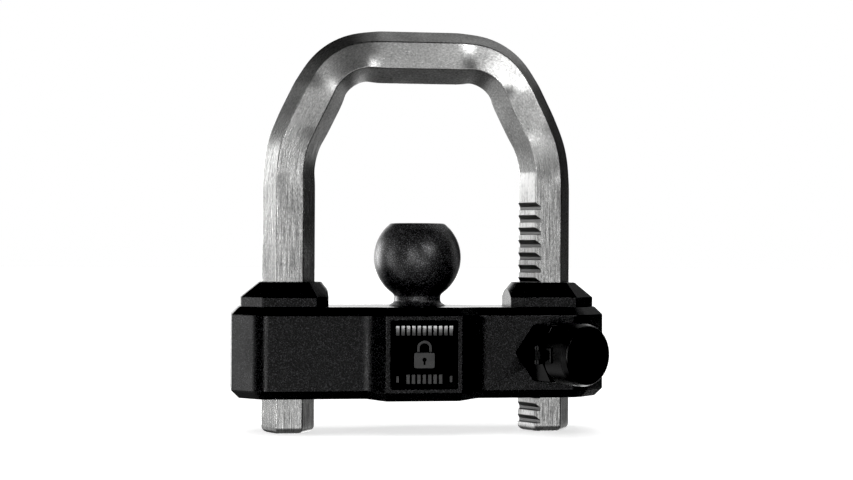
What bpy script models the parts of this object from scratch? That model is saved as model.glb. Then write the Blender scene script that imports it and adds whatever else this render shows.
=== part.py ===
"""Trailer coupler lock: a bent hexagonal shackle through a body with a coupler ball and a key lock.

X runs from the plain leg to the notched leg, Y runs from the front to the back, and Z is up.
Inside the frame empty, the ball's axis is the Z axis, the two legs stand in the plane Y = 0, and the
shackle's ends are at Z = 0. The frame empty then moves everything along Y, so that the origin is under
the centre of the whole object's box.
"""

import math

import bmesh
import bpy
from mathutils import Matrix, Vector

MM = 0.001
GAP = 0.3 * MM                    # air between pieces that touch

# Shackle: hexagonal bar, flats to the front and back
BAR_FLATS = 25.0 * MM             # across flats
BAR_EDGE_RADIUS = 2.0 * MM
LEG_X = 70.6 * MM                 # leg axis to ball axis
BEND_LOW_Z = 152.0 * MM           # where a leg's axis meets the slanted axis
TOP_HALF_WIDTH = 44.8 * MM        # where the slanted axis meets the top's axis
TOP_AXIS_Z = 204.4 * MM
BEND_LOW_RADIUS = 55.0 * MM
BEND_TOP_RADIUS = 29.0 * MM
END_ROUND = 3.0 * MM

# Notches in the inner front flat of the +X leg
NOTCH_PITCH = 6.86 * MM
NOTCH_COUNT = 18
NOTCH_LEDGE_Z = 4.58 * MM         # ledge of the lowest notch
NOTCH_DEPTH = 2.8 * MM
NOTCH_FLOOR = 1.9 * MM            # upright floor above the ledge
NOTCH_RAMP = 2.35 * MM            # rise of the ramp above the floor
NOTCH_HALF_LENGTH = 11.25 * MM    # longer than the flat is wide, so a notch opens at both of its edges

# Body
BODY_BOTTOM = 19.4 * MM
BODY_TOP = 68.4 * MM
BODY_HALF_LENGTH = 101.5 * MM
BODY_HALF_DEPTH = 26.0 * MM
BODY_CORNER = 14.5 * MM           # the 45 degree corner cut in plan
BODY_CHAMFER = 4.3 * MM
BLOCK_SINK = 3.0 * MM             # how far the block's outline runs on inside the body
BLOCK_BOTTOM = 18.3 * MM
BLOCK_HALF_DEPTH = 31.0 * MM
BLOCK_HALF_WIDTH = 20.5 * MM
BLOCK_SLOPE = 9.3 * MM            # width of the slope down to the wing
RECESS_WIDTH = 35.8 * MM
RECESS_HEIGHT = 36.0 * MM
RECESS_DEPTH = 2.2 * MM
RECESS_Z = 43.4 * MM
PLATE_SET_BACK = 0.2 * MM         # from the block's front to the badge plate's face
PAD_THICKNESS = 0.4 * MM
PAD_MARGIN = 1.0 * MM

# Towers round the legs, as distances from the leg's axis
TOWER_INNER = 20.9 * MM
TOWER_OUTER = 25.8 * MM
TOWER_HALF_DEPTH = 20.0 * MM
TOWER_FRONT_HALF = 14.4 * MM
TOWER_BAND_TOP = 73.4 * MM
TOWER_TOP = 81.6 * MM
TOWER_TOP_HALF = 16.4 * MM
TOWER_TOP_HALF_DEPTH = 14.8 * MM
TOWER_TOP_FRONT_HALF = 9.8 * MM
TOWER_SINK = 8.0 * MM             # how far a tower runs down inside the body

# Coupler ball, 1-7/8 inch, and its fixing
BALL_RADIUS = 23.81 * MM
BALL_Z = 94.9 * MM
BALL_FLAT_Z = 113.6 * MM
NECK_RADIUS = 13.4 * MM
NECK_Z = 72.6 * MM
FLARE_RADIUS = 16.0 * MM
SHANK_RADIUS = 10.0 * MM
SHANK_BOTTOM = 36.0 * MM
NECK_JOIN = math.radians(142)     # where the sphere ends, from its top
NECK_CURVE = 1.2 * MM
NECK_FLARE = 0.9 * MM
FLARE_RISE = 1.6 * MM
FLARE_EDGE = 0.6 * MM
BOLT_HOLE_EXTRA = 2.0 * MM        # depth of the blind hole beyond the bolt
BOLT_RADIUS = 6.0 * MM
BOLT_TOP = 58.0 * MM
BOLT_HEAD_FLATS = 19.0 * MM
BOLT_HEAD_HEIGHT = 7.0 * MM
WASHER_RADIUS = 12.0 * MM
WASHER_THICKNESS = 1.8 * MM
COUNTERBORE_RADIUS = 15.0 * MM
COUNTERBORE_TOP = 28.3 * MM

# Key lock. Its own frame has Z outward along the lock's axis, Y up and X towards the notched leg
LOCK_X = 69.5 * MM
LOCK_Z = 44.0 * MM
LOCK_TURN = math.radians(30)      # the axis points this far from straight ahead, towards +X
HOUSING_FLATS = 30.4 * MM
HOUSING_FRONT = 10.0 * MM
HOUSING_BACK = -5.2 * MM
HOUSING_ROOT = -12.0 * MM         # where the hexagon starts, before the body's front cuts it off
BARREL_ROOT = 8.0 * MM            # where the barrel starts inside the hexagon
EAR_WEB_END = -13.0 * MM
EAR_WEB_FRONT = 9.6 * MM
SPIGOT_RADIUS = 11.7 * MM
BARREL_RADIUS = 12.0 * MM
BARREL_FRONT = 21.7 * MM
CYLINDER_RADIUS = 10.0 * MM
CYLINDER_FLANGE_RADIUS = 11.6 * MM
CYLINDER_FRONT = 23.4 * MM
CYLINDER_BACK = -6.6 * MM
CLIP_BACK = -6.2 * MM
CLIP_FRONT = -5.5 * MM
CLIP_RADIUS = 11.2 * MM
GROOVE_RADIUS = 9.0 * MM
PLUG_RADIUS = 6.2 * MM
PLUG_FRONT = 23.1 * MM
PLUG_BACK = -6.4 * MM
TAIL_HALF = 2.2 * MM
TAIL_BACK = -8.6 * MM
KEYWAY_WIDTH = 1.6 * MM
KEYWAY_HEIGHT = 8.0 * MM
KEYWAY_BACK = -1.0 * MM
WAFER_COUNT = 5
WAFER_PITCH = 3.6 * MM
WAFER_FIRST = 3.0 * MM
WAFER_THICKNESS = 1.2 * MM
WAFER_WIDTH = 4.2 * MM
WAFER_HEIGHT = 10.6 * MM
CAM_RADIUS = 5.7 * MM
CAM_BACK = -9.4 * MM
CAM_FRONT = -6.9 * MM
CAM_PIN_RADIUS = 1.7 * MM
CAM_PIN_OFFSET = 3.2 * MM         # how far the pin is off the lock's axis
CAM_PIN_BACK = -14.4 * MM
SEAL_THICKNESS = 0.8 * MM
SEAL_MARGIN = 2.0 * MM            # across flats, less than the housing
CHANNEL_HALF_HEIGHT = 8.0 * MM    # the groove in the cylinder that the wafers' ends stand in
CHANNEL_CLEARANCE = 0.4 * MM
WINDOW_HALF_WIDTH = 1.1 * MM
WINDOW_LOW, WINDOW_HIGH = -2.6 * MM, 2.9 * MM

# Pawl, in the lock's frame at rest, where it is drawn back from the leg
PAWL_LEFT = -10.5 * MM
PAWL_FACE = -1.7 * MM
PAWL_TIP = 0.85 * MM
PAWL_SHOULDER = -5.5 * MM
PAWL_BACK = -27.5 * MM
PAWL_STEP = -15.2 * MM
PAWL_FRONT = -10.3 * MM
PAWL_HALF_HEIGHT = 5.6 * MM
TIP_BOTTOM = -4.8 * MM
TIP_TOP_AT_FACE = -1.3 * MM
TIP_TOP_AT_END = -3.3 * MM
POCKET_LEFT = -13.4 * MM
POCKET_RIGHT = 3.0 * MM
POCKET_FRONT = -9.7 * MM
SPRING_RADIUS = 2.6 * MM          # to the middle of the wire
SPRING_WIRE = 0.45 * MM
SPRING_TURNS = 7
SPRING_HOLE = 3.5 * MM
SPRING_HOLE_END = -24.0 * MM
SPRING_SEAT = -6.8 * MM
SPRING_DEPTH = -21.0 * MM
TIP_INSET = 0.6 * MM              # from the pawl's front and back to its tip

# Dust cap and its hinge
CAP_RADIUS = 16.5 * MM
CAP_BACK = 11.9 * MM
CAP_FRONT = 29.3 * MM
CAP_FACE_RADIUS = 15.0 * MM
CAP_INSIDE_RADIUS = 15.0 * MM
CAP_INSIDE_FRONT = 26.3 * MM
HINGE_X = -19.0 * MM
HINGE_Z = 10.6 * MM
HINGE_RADIUS = 2.2 * MM
HINGE_PIN_RADIUS = 1.0 * MM
KNUCKLE_HALF = 2.3 * MM
EAR_HALF = 4.6 * MM
PIN_PROUD = 0.4 * MM
CAP_WEB_BACK, CAP_WEB_FRONT = 0.2 * MM, 4.6 * MM
CAP_WEB_SINK = 0.4 * MM           # how far the web runs into the cap's wall
CAP_SEAL_RADIUS = 9.0 * MM
CAP_SEAL_THICKNESS = 0.8 * MM

FRAME_Y = 13.8 * MM               # the frame empty's shift, half the depth that the cap adds in front

EPSILON = 0.00001                 # merge distance
OVERLAP = 2.0 * MM                # how far joined solids run into each other
OPEN = 3.0 * MM                   # how far a shallow cutter starts outside the surface
REACH = 60.0 * MM                 # how far a long cutter runs past what it cuts

PARTS = "coupler_lock"
CUTTERS = "cutters"


# ---------------------------------------------------------------- scene and materials

def clear_scene():
    for thing in list(bpy.data.objects):
        bpy.data.objects.remove(thing, do_unlink=True)
    for group in list(bpy.data.collections):
        bpy.data.collections.remove(group)


def new_collection(name):
    group = bpy.data.collections.new(name)
    bpy.context.scene.collection.children.link(group)
    return group


def material(name, colour, roughness, metallic):
    made = bpy.data.materials.new(name)
    made.use_nodes = True
    shader = made.node_tree.nodes["Principled BSDF"]
    shader.inputs["Base Color"].default_value = (*colour, 1.0)
    shader.inputs["Roughness"].default_value = roughness
    shader.inputs["Metallic"].default_value = metallic
    made.diffuse_color = (*colour, 1.0)
    return made


def empty(name, location, rotation=(0, 0, 0), parent=None):
    made = bpy.data.objects.new(name, None)
    made.location = location
    made.rotation_euler = rotation
    made.parent = parent
    bpy.data.collections[PARTS].objects.link(made)
    return made


def add(name, mesh, look=None, parent=None, location=(0, 0, 0), rotation=(0, 0, 0)):
    """A named object: with a material it is a part, and without one it is a cutter."""
    made = bpy.data.objects.new(name, mesh)
    made.location = location
    made.rotation_euler = rotation
    made.parent = parent
    if look:
        mesh.materials.append(look)
        bpy.data.collections[PARTS].objects.link(made)
    else:
        made.hide_render = True
        made.display_type = "WIRE"
        bpy.data.collections[CUTTERS].objects.link(made)
    return made


# ---------------------------------------------------------------- meshes

def finish_mesh(name, bm):
    bmesh.ops.recalc_face_normals(bm, faces=bm.faces)
    mesh = bpy.data.meshes.new(name)
    bm.to_mesh(mesh)
    bm.free()
    return mesh


def box_mesh(name, low, high):
    """A box between two corners."""
    low, high = Vector(low), Vector(high)
    bm = bmesh.new()
    bmesh.ops.create_cube(bm, size=1.0)
    bmesh.ops.scale(bm, vec=high - low, verts=bm.verts)
    bmesh.ops.translate(bm, vec=(low + high) / 2, verts=bm.verts)
    return finish_mesh(name, bm)


def cylinder_mesh(name, radius, low, high, centre=(0, 0), sides=32, axis="Z"):
    """A cylinder between two heights along an axis; centre is across that axis."""
    bm = bmesh.new()
    bmesh.ops.create_cone(bm, cap_ends=True, segments=sides, radius1=radius, radius2=radius,
                          depth=high - low)
    bmesh.ops.translate(bm, vec=(centre[0], centre[1], (low + high) / 2), verts=bm.verts)
    if axis != "Z":
        swap = ((0, 0, 1), (1, 0, 0), (0, 1, 0)) if axis == "X" else ((0, 1, 0), (0, 0, 1), (1, 0, 0))
        bmesh.ops.rotate(bm, cent=(0, 0, 0), matrix=Matrix(swap), verts=bm.verts)
    return finish_mesh(name, bm)


def prism_mesh(name, outline, low, high, chamfer_ends=False):
    """An outline in X and Y, raised from low to high. chamfer_ends marks its rims for a Bevel."""
    bm = bmesh.new()
    base = bm.faces.new([bm.verts.new((x, y, low)) for x, y in outline])
    raised = bmesh.ops.extrude_face_region(bm, geom=[base])["geom"]
    lifted = [v for v in raised if isinstance(v, bmesh.types.BMVert)]
    bmesh.ops.translate(bm, vec=(0, 0, high - low), verts=lifted)
    if chamfer_ends:
        weight = bm.edges.layers.float.new("bevel_weight_edge")
        for edge in bm.edges:
            if abs(edge.verts[0].co.z - edge.verts[1].co.z) < EPSILON:
                edge[weight] = 1.0
    return finish_mesh(name, bm)


def loft_mesh(name, sections):
    """Sections with equal numbers of points, from the bottom up, joined by quads."""
    bm = bmesh.new()
    rings = [[bm.verts.new(point) for point in section] for section in sections]
    count = len(rings[0])
    for below, above in zip(rings, rings[1:]):
        for i in range(count):
            j = (i + 1) % count
            bm.faces.new((below[i], below[j], above[j], above[i]))
    bm.faces.new(rings[0])
    bm.faces.new(rings[-1])
    return finish_mesh(name, bm)


def outline_mesh(name, profile, closed):
    """A turned profile of (radius, height) points, for a Screw modifier."""
    bm = bmesh.new()
    points = [bm.verts.new((radius, 0, height)) for radius, height in profile]
    for first, second in zip(points, points[1:]):
        bm.edges.new((first, second))
    if closed:
        bm.edges.new((points[-1], points[0]))
    mesh = bpy.data.meshes.new(name)
    bm.to_mesh(mesh)
    bm.free()
    return mesh


def turn(thing, steps=40):
    """Spins the object's profile about its own Z axis."""
    screw = thing.modifiers.new("turn", "SCREW")
    screw.steps = steps
    screw.render_steps = steps
    screw.use_merge_vertices = True
    screw.merge_threshold = EPSILON
    screw.use_smooth_shade = True
    return thing


def turned(name, profile, look=None, parent=None, closed=False, steps=40, location=(0, 0, 0)):
    return turn(add(name, outline_mesh(name, profile, closed), look, parent, location), steps)


def boolean(thing, other, operation="DIFFERENCE"):
    cut = thing.modifiers.new(other.name, "BOOLEAN")
    cut.operation = operation
    cut.object = other
    cut.solver = "EXACT"


def smooth(thing, angle=35):
    thing.data.shade_smooth()
    thing.data.set_sharp_from_angle(angle=math.radians(angle))


def hexagon(flats, radius=0.0, corner_points=3):
    """Outline of a hexagon with flats at plus and minus Y, or the same with rounded corners."""
    points = []
    corner = flats / 2 / math.cos(math.radians(30))
    inset = corner - radius / math.cos(math.radians(30))
    for k in range(6):
        middle = math.radians(60 * k)
        if not radius:
            points.append((corner * math.cos(middle), corner * math.sin(middle)))
            continue
        for i in range(corner_points):
            angle = middle + math.radians(60 * (i / (corner_points - 1) - 0.5))
            points.append((inset * math.cos(middle) + radius * math.cos(angle),
                           inset * math.sin(middle) + radius * math.sin(angle)))
    return points


# ---------------------------------------------------------------- shackle

def bent_path(corners, radii, degrees_per_step=5.0):
    """Points along straight runs joined by round bends, in the XZ plane."""
    path = [Vector(corners[0])]
    for before, corner, after, radius in zip(corners, corners[1:], corners[2:], radii):
        before, corner, after = Vector(before), Vector(corner), Vector(after)
        arriving = (corner - before).normalized()
        leaving = (after - corner).normalized()
        bend = arriving.angle(leaving)
        start = corner - arriving * radius * math.tan(bend / 2)
        inward = (leaving - arriving * arriving.dot(leaving)).normalized()
        centre = start + inward * radius
        steps = max(2, round(math.degrees(bend) / degrees_per_step))
        for i in range(steps + 1):
            turned_by = bend * i / steps
            path.append(centre + (arriving * math.sin(turned_by) - inward * math.cos(turned_by)) * radius)
    path.append(Vector(corners[-1]))
    return path


def swept_bar(name, path, outline):
    """The outline, kept square to the path, swept along it. Its X stays in the plane of the path."""
    sections = []
    for i, point in enumerate(path):
        along = (path[min(i + 1, len(path) - 1)] - path[max(i - 1, 0)]).normalized()
        across = Vector((along.z, 0, -along.x))
        sections.append([point + across * x + Vector((0, y, 0)) for x, y in outline])
    return loft_mesh(name, sections)


def notch_cutter(frame):
    """All the notches as one cutter, in a frame on the notched flat of the +X leg.

    That frame's X points into the bar, its Y is up and its Z runs along the flat.
    """
    top = NOTCH_FLOOR + NOTCH_RAMP * (1 + OPEN / NOTCH_DEPTH)
    profile = [(-OPEN, 0), (NOTCH_DEPTH, 0), (NOTCH_DEPTH, NOTCH_FLOOR), (-OPEN, top)]
    bm = bmesh.new()
    for k in range(NOTCH_COUNT):
        lift = NOTCH_LEDGE_Z + k * NOTCH_PITCH
        ends = [[bm.verts.new((x, y + lift, z)) for x, y in profile]
                for z in (-NOTCH_HALF_LENGTH, NOTCH_HALF_LENGTH)]
        bm.faces.new(ends[0])
        bm.faces.new(ends[1])
        for i in range(4):
            j = (i + 1) % 4
            bm.faces.new((ends[0][i], ends[0][j], ends[1][j], ends[1][i]))
    inner = BAR_FLATS / 2
    location = (LEG_X - inner * math.cos(LOCK_TURN), -inner * math.sin(LOCK_TURN), 0)
    return add("notches_cut", finish_mesh("notches_cut", bm), None, frame, location,
               (math.radians(90), 0, LOCK_TURN))


def make_shackle(frame, looks):
    corners = [(-LEG_X, 0, 0), (-LEG_X, 0, BEND_LOW_Z), (-TOP_HALF_WIDTH, 0, TOP_AXIS_Z),
               (TOP_HALF_WIDTH, 0, TOP_AXIS_Z), (LEG_X, 0, BEND_LOW_Z), (LEG_X, 0, 0)]
    radii = [BEND_LOW_RADIUS, BEND_TOP_RADIUS, BEND_TOP_RADIUS, BEND_LOW_RADIUS]
    mesh = swept_bar("shackle", bent_path(corners, radii), hexagon(BAR_FLATS, BAR_EDGE_RADIUS))
    weight = mesh.attributes.new("bevel_weight_edge", "FLOAT", "EDGE")
    for edge in mesh.edges:
        if all(mesh.vertices[v].co.z < EPSILON for v in edge.vertices):
            weight.data[edge.index].value = 1.0
    shackle = add("shackle", mesh, looks["steel"], frame)
    smooth(shackle)
    rounding = shackle.modifiers.new("rounded_ends", "BEVEL")
    rounding.limit_method = "WEIGHT"
    rounding.width = END_ROUND
    rounding.segments = 3
    boolean(shackle, notch_cutter(frame))
    return shackle


# ---------------------------------------------------------------- body

def wing_outline():
    long, deep, corner = BODY_HALF_LENGTH, BODY_HALF_DEPTH, BODY_CORNER
    quarter = [(long, deep - corner), (long - corner, deep)]
    return quarter + [(-x, y) for x, y in reversed(quarter)] + \
        [(-x, -y) for x, y in quarter] + [(x, -y) for x, y in reversed(quarter)]


def block_outline():
    foot = BLOCK_HALF_WIDTH + BLOCK_SLOPE
    inside = BODY_HALF_DEPTH - BLOCK_SINK
    slope = (BLOCK_HALF_DEPTH - BODY_HALF_DEPTH) / BLOCK_SLOPE
    toe = foot + BLOCK_SINK / slope
    quarter = [(toe, inside), (BLOCK_HALF_WIDTH, BLOCK_HALF_DEPTH)]
    return quarter + [(-x, y) for x, y in reversed(quarter)] + \
        [(-x, -y) for x, y in quarter] + [(x, -y) for x, y in reversed(quarter)]


def chamfered(thing, width):
    rim = thing.modifiers.new("chamfer", "BEVEL")
    rim.limit_method = "WEIGHT"
    rim.width = width
    rim.segments = 1


def tower_ring(side, z, inner, outer, half_depth, front_half):
    """Octagon with 45 degree corners round a leg. Inner and outer are measured from the leg's axis.

    Inner is towards the ball, outer is away from it, and front_half is half the width of the front.
    """
    at_inner = half_depth - (inner - front_half)
    at_outer = half_depth - (outer - front_half)
    points = [(-inner, -at_inner), (-front_half, -half_depth), (front_half, -half_depth),
              (outer, -at_outer), (outer, at_outer), (front_half, half_depth),
              (-front_half, half_depth), (-inner, at_inner)]
    return [(side * (LEG_X + x), y, z) for x, y in points]


def tower(frame, side, name):
    foot = (TOWER_INNER, TOWER_OUTER, TOWER_HALF_DEPTH, TOWER_FRONT_HALF)
    head = (TOWER_TOP_HALF, TOWER_TOP_HALF, TOWER_TOP_HALF_DEPTH, TOWER_TOP_FRONT_HALF)
    sections = [tower_ring(side, BODY_TOP - TOWER_SINK, *foot),
                tower_ring(side, TOWER_BAND_TOP, *foot),
                tower_ring(side, TOWER_TOP, *head)]
    return add(name, loft_mesh(name, sections), None, frame)


def leg_hole(frame, side, name):
    mesh = prism_mesh(name, hexagon(BAR_FLATS + 2 * GAP), 0, TOWER_TOP + OPEN)
    return add(name, mesh, None, frame, (side * LEG_X, 0, 0))


def make_body(frame, lock, looks):
    mesh = prism_mesh("lock_body", wing_outline(), BODY_BOTTOM, BODY_TOP, chamfer_ends=True)
    body = add("lock_body", mesh, looks["powder_coat"], frame)
    chamfered(body, BODY_CHAMFER)
    mesh = prism_mesh("block", block_outline(), BLOCK_BOTTOM, BODY_TOP, chamfer_ends=True)
    block = add("block", mesh, None, frame)
    chamfered(block, BODY_CHAMFER)
    boolean(body, block, "UNION")
    for side, label in ((-1, "left"), (1, "right")):
        boolean(body, tower(frame, side, "tower_" + label), "UNION")
    for side, label in ((-1, "left"), (1, "right")):
        boolean(body, leg_hole(frame, side, "leg_hole_" + label))
    recess = box_mesh("recess",
                      (-RECESS_WIDTH / 2, -BLOCK_HALF_DEPTH - OPEN, RECESS_Z - RECESS_HEIGHT / 2),
                      (RECESS_WIDTH / 2, -BLOCK_HALF_DEPTH + RECESS_DEPTH, RECESS_Z + RECESS_HEIGHT / 2))
    boolean(body, add("badge_recess", recess, None, frame))
    bores = [("shank_bore", SHANK_RADIUS + GAP, SHANK_BOTTOM - 2 * GAP, BODY_TOP + OPEN),
             ("bolt_bore", BOLT_RADIUS + 2 * GAP, 0, SHANK_BOTTOM + OPEN),
             ("counterbore", COUNTERBORE_RADIUS, 0, COUNTERBORE_TOP)]
    for name, radius, low, high in bores:
        boolean(body, add(name, cylinder_mesh(name, radius, low, high), None, frame))
    spigot = cylinder_mesh("spigot_bore", SPIGOT_RADIUS + GAP, CYLINDER_BACK - 2 * GAP, REACH, sides=40)
    boolean(body, add("spigot_bore", spigot, None, lock))
    cam = cylinder_mesh("cam_bore", CAM_RADIUS + GAP, POCKET_FRONT - OVERLAP / 2, 0)
    boolean(body, add("cam_bore", cam, None, lock))
    tall = PAWL_HALF_HEIGHT + GAP
    pocket = box_mesh("pocket", (POCKET_LEFT, -tall, PAWL_BACK - GAP), (POCKET_RIGHT, tall, POCKET_FRONT))
    boolean(body, add("pawl_pocket", pocket, None, lock))
    spring = cylinder_mesh("spring_bore", SPRING_HOLE, SPRING_HOLE_END, POCKET_LEFT + OVERLAP / 2,
                           (0, SPRING_DEPTH), 16, "X")
    boolean(body, add("spring_bore", spring, None, lock))
    return body


# ---------------------------------------------------------------- coupler ball

def ball_profile():
    """Down the outer side, from the middle of the flat top to the shank's bottom, then its blind hole."""
    start = math.acos((BALL_FLAT_Z - BALL_Z) / BALL_RADIUS)
    points = [(0, BALL_FLAT_Z)]
    steps = 16
    for i in range(steps + 1):
        angle = start + (NECK_JOIN - start) * i / steps
        points.append((BALL_RADIUS * math.sin(angle), BALL_Z + BALL_RADIUS * math.cos(angle)))
    base = BODY_TOP + GAP
    points += [(NECK_RADIUS, NECK_Z + NECK_CURVE), (NECK_RADIUS, NECK_Z),
               (NECK_RADIUS + NECK_FLARE, NECK_Z - FLARE_RISE),
               (FLARE_RADIUS, base + FLARE_EDGE), (FLARE_RADIUS, base)]
    hole = BOLT_RADIUS + GAP
    hole_end = BOLT_TOP + BOLT_HOLE_EXTRA
    points += [(SHANK_RADIUS, base), (SHANK_RADIUS, SHANK_BOTTOM), (hole, SHANK_BOTTOM),
               (hole, hole_end), (0, hole_end)]
    return points


def make_ball(frame, looks):
    turned("coupler_ball", ball_profile(), looks["ball_coat"], frame, steps=48)
    washer_top = COUNTERBORE_TOP - GAP
    washer_low = washer_top - WASHER_THICKNESS
    hole = BOLT_RADIUS + 2 * GAP
    ring = [(hole, washer_top), (WASHER_RADIUS, washer_top), (WASHER_RADIUS, washer_low), (hole, washer_low)]
    turned("ball_washer", ring, looks["zinc"], frame, closed=True, steps=32)
    head_top = washer_low - GAP
    head = prism_mesh("ball_bolt", hexagon(BOLT_HEAD_FLATS), head_top - BOLT_HEAD_HEIGHT, head_top)
    bolt = add("ball_bolt", head, looks["zinc"], frame)
    shank = cylinder_mesh("bolt_shank", BOLT_RADIUS, head_top - OVERLAP, BOLT_TOP)
    boolean(bolt, add("bolt_shank", shank, None, frame), "UNION")


# ---------------------------------------------------------------- badge

def make_badge(frame, looks):
    floor = -BLOCK_HALF_DEPTH + RECESS_DEPTH
    half_x, half_z = RECESS_WIDTH / 2 - GAP, RECESS_HEIGHT / 2 - GAP
    pad_front = floor - GAP - PAD_THICKNESS
    pad_x, pad_z = half_x - PAD_MARGIN, half_z - PAD_MARGIN
    pad = box_mesh("badge_adhesive", (-pad_x, pad_front, RECESS_Z - pad_z),
                   (pad_x, floor - GAP, RECESS_Z + pad_z))
    add("badge_adhesive", pad, looks["foam"], frame)
    plate = box_mesh("badge_plate", (-half_x, -BLOCK_HALF_DEPTH + PLATE_SET_BACK, RECESS_Z - half_z),
                     (half_x, pad_front - GAP, RECESS_Z + half_z))
    add("badge_plate", plate, looks["gloss_black"], frame)


# ---------------------------------------------------------------- key lock

def slab_cutter(name, front, low, high):
    """A wide slab parallel to the body's front. front is an empty whose Z points out of that face."""
    return add(name, box_mesh(name, (-REACH, -REACH, low), (REACH, REACH, high)), None, front)


def make_housing(lock, front, looks):
    """The hexagonal housing, cut off along the body's front, with a spigot, a barrel and hinge ears."""
    hexagonal = prism_mesh("lock_housing", hexagon(HOUSING_FLATS), HOUSING_ROOT, HOUSING_FRONT)
    housing = add("lock_housing", hexagonal, looks["satin_black"], lock)
    boolean(housing, slab_cutter("body_side", front, -REACH, SEAL_THICKNESS + 2 * GAP))
    spigot = cylinder_mesh("spigot", SPIGOT_RADIUS, HOUSING_BACK, BARREL_ROOT, sides=40)
    boolean(housing, add("spigot", spigot, None, lock), "UNION")
    barrel = cylinder_mesh("barrel", BARREL_RADIUS, BARREL_ROOT, BARREL_FRONT, sides=40)
    boolean(housing, add("barrel", barrel, None, lock), "UNION")
    for sign, label in ((-1, "low"), (1, "high")):
        ends = sorted((sign * (KNUCKLE_HALF + GAP), sign * EAR_HALF))
        web = box_mesh("ear_web", (HINGE_X, ends[0], HINGE_Z - HINGE_RADIUS),
                       (EAR_WEB_END, ends[1], EAR_WEB_FRONT))
        boolean(housing, add("ear_web_" + label, web, None, lock), "UNION")
        ear = cylinder_mesh("ear", HINGE_RADIUS, ends[0], ends[1], (HINGE_Z, HINGE_X), 20, "Y")
        boolean(housing, add("ear_" + label, ear, None, lock), "UNION")
    relief = cylinder_mesh("relief", HINGE_RADIUS + 1.5 * GAP, -KNUCKLE_HALF - GAP, KNUCKLE_HALF + GAP,
                           (HINGE_Z, HINGE_X), 20, "Y")
    boolean(housing, add("knuckle_relief", relief, None, lock))
    pin_hole = cylinder_mesh("ear_hole", HINGE_PIN_RADIUS + GAP, -EAR_HALF - OPEN, EAR_HALF + OPEN,
                             (HINGE_Z, HINGE_X), 16, "Y")
    boolean(housing, add("ear_hole", pin_hole, None, lock))
    bore = cylinder_mesh("housing_bore", CYLINDER_RADIUS + GAP, -REACH, REACH, sides=40)
    boolean(housing, add("housing_bore", bore, None, lock))
    make_housing_seal(lock, front, looks)


def make_housing_seal(lock, front, looks):
    """A flat ring on the body's front, round the spigot."""
    sheet = prism_mesh("housing_seal", hexagon(HOUSING_FLATS - SEAL_MARGIN), -REACH / 2, REACH / 2)
    seal = add("housing_seal", sheet, looks["rubber"], lock)
    boolean(seal, slab_cutter("seal_back", front, -REACH, GAP))
    boolean(seal, slab_cutter("seal_front", front, GAP + SEAL_THICKNESS, REACH))
    hole = cylinder_mesh("seal_hole", SPIGOT_RADIUS + GAP, -REACH, REACH, sides=40)
    boolean(seal, add("seal_hole", hole, None, lock))


def make_cylinder(lock, looks):
    bore = PLUG_RADIUS + GAP
    flange_back = BARREL_FRONT + GAP
    groove_front, groove_back = CLIP_FRONT + GAP, CLIP_BACK - GAP
    profile = [(bore, CYLINDER_FRONT), (CYLINDER_FLANGE_RADIUS, CYLINDER_FRONT),
               (CYLINDER_FLANGE_RADIUS, flange_back), (CYLINDER_RADIUS, flange_back),
               (CYLINDER_RADIUS, groove_front), (GROOVE_RADIUS, groove_front),
               (GROOVE_RADIUS, groove_back), (CYLINDER_RADIUS, groove_back),
               (CYLINDER_RADIUS, CYLINDER_BACK), (bore, CYLINDER_BACK)]
    shell = turned("lock_cylinder", profile, looks["zinc"], lock, closed=True)
    half_width = WAFER_WIDTH / 2 + CHANNEL_CLEARANCE
    slot = box_mesh("wafer_channel", (-half_width, -CHANNEL_HALF_HEIGHT, KEYWAY_BACK),
                    (half_width, CHANNEL_HALF_HEIGHT, WAFER_FIRST + WAFER_COUNT * WAFER_PITCH))
    boolean(shell, add("wafer_channel", slot, None, lock))
    clip = GROOVE_RADIUS + GAP
    ring = [(clip, CLIP_FRONT), (CLIP_RADIUS, CLIP_FRONT), (CLIP_RADIUS, CLIP_BACK), (clip, CLIP_BACK)]
    turned("cylinder_clip", ring, looks["spring_steel"], lock, closed=True, steps=32)


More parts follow.
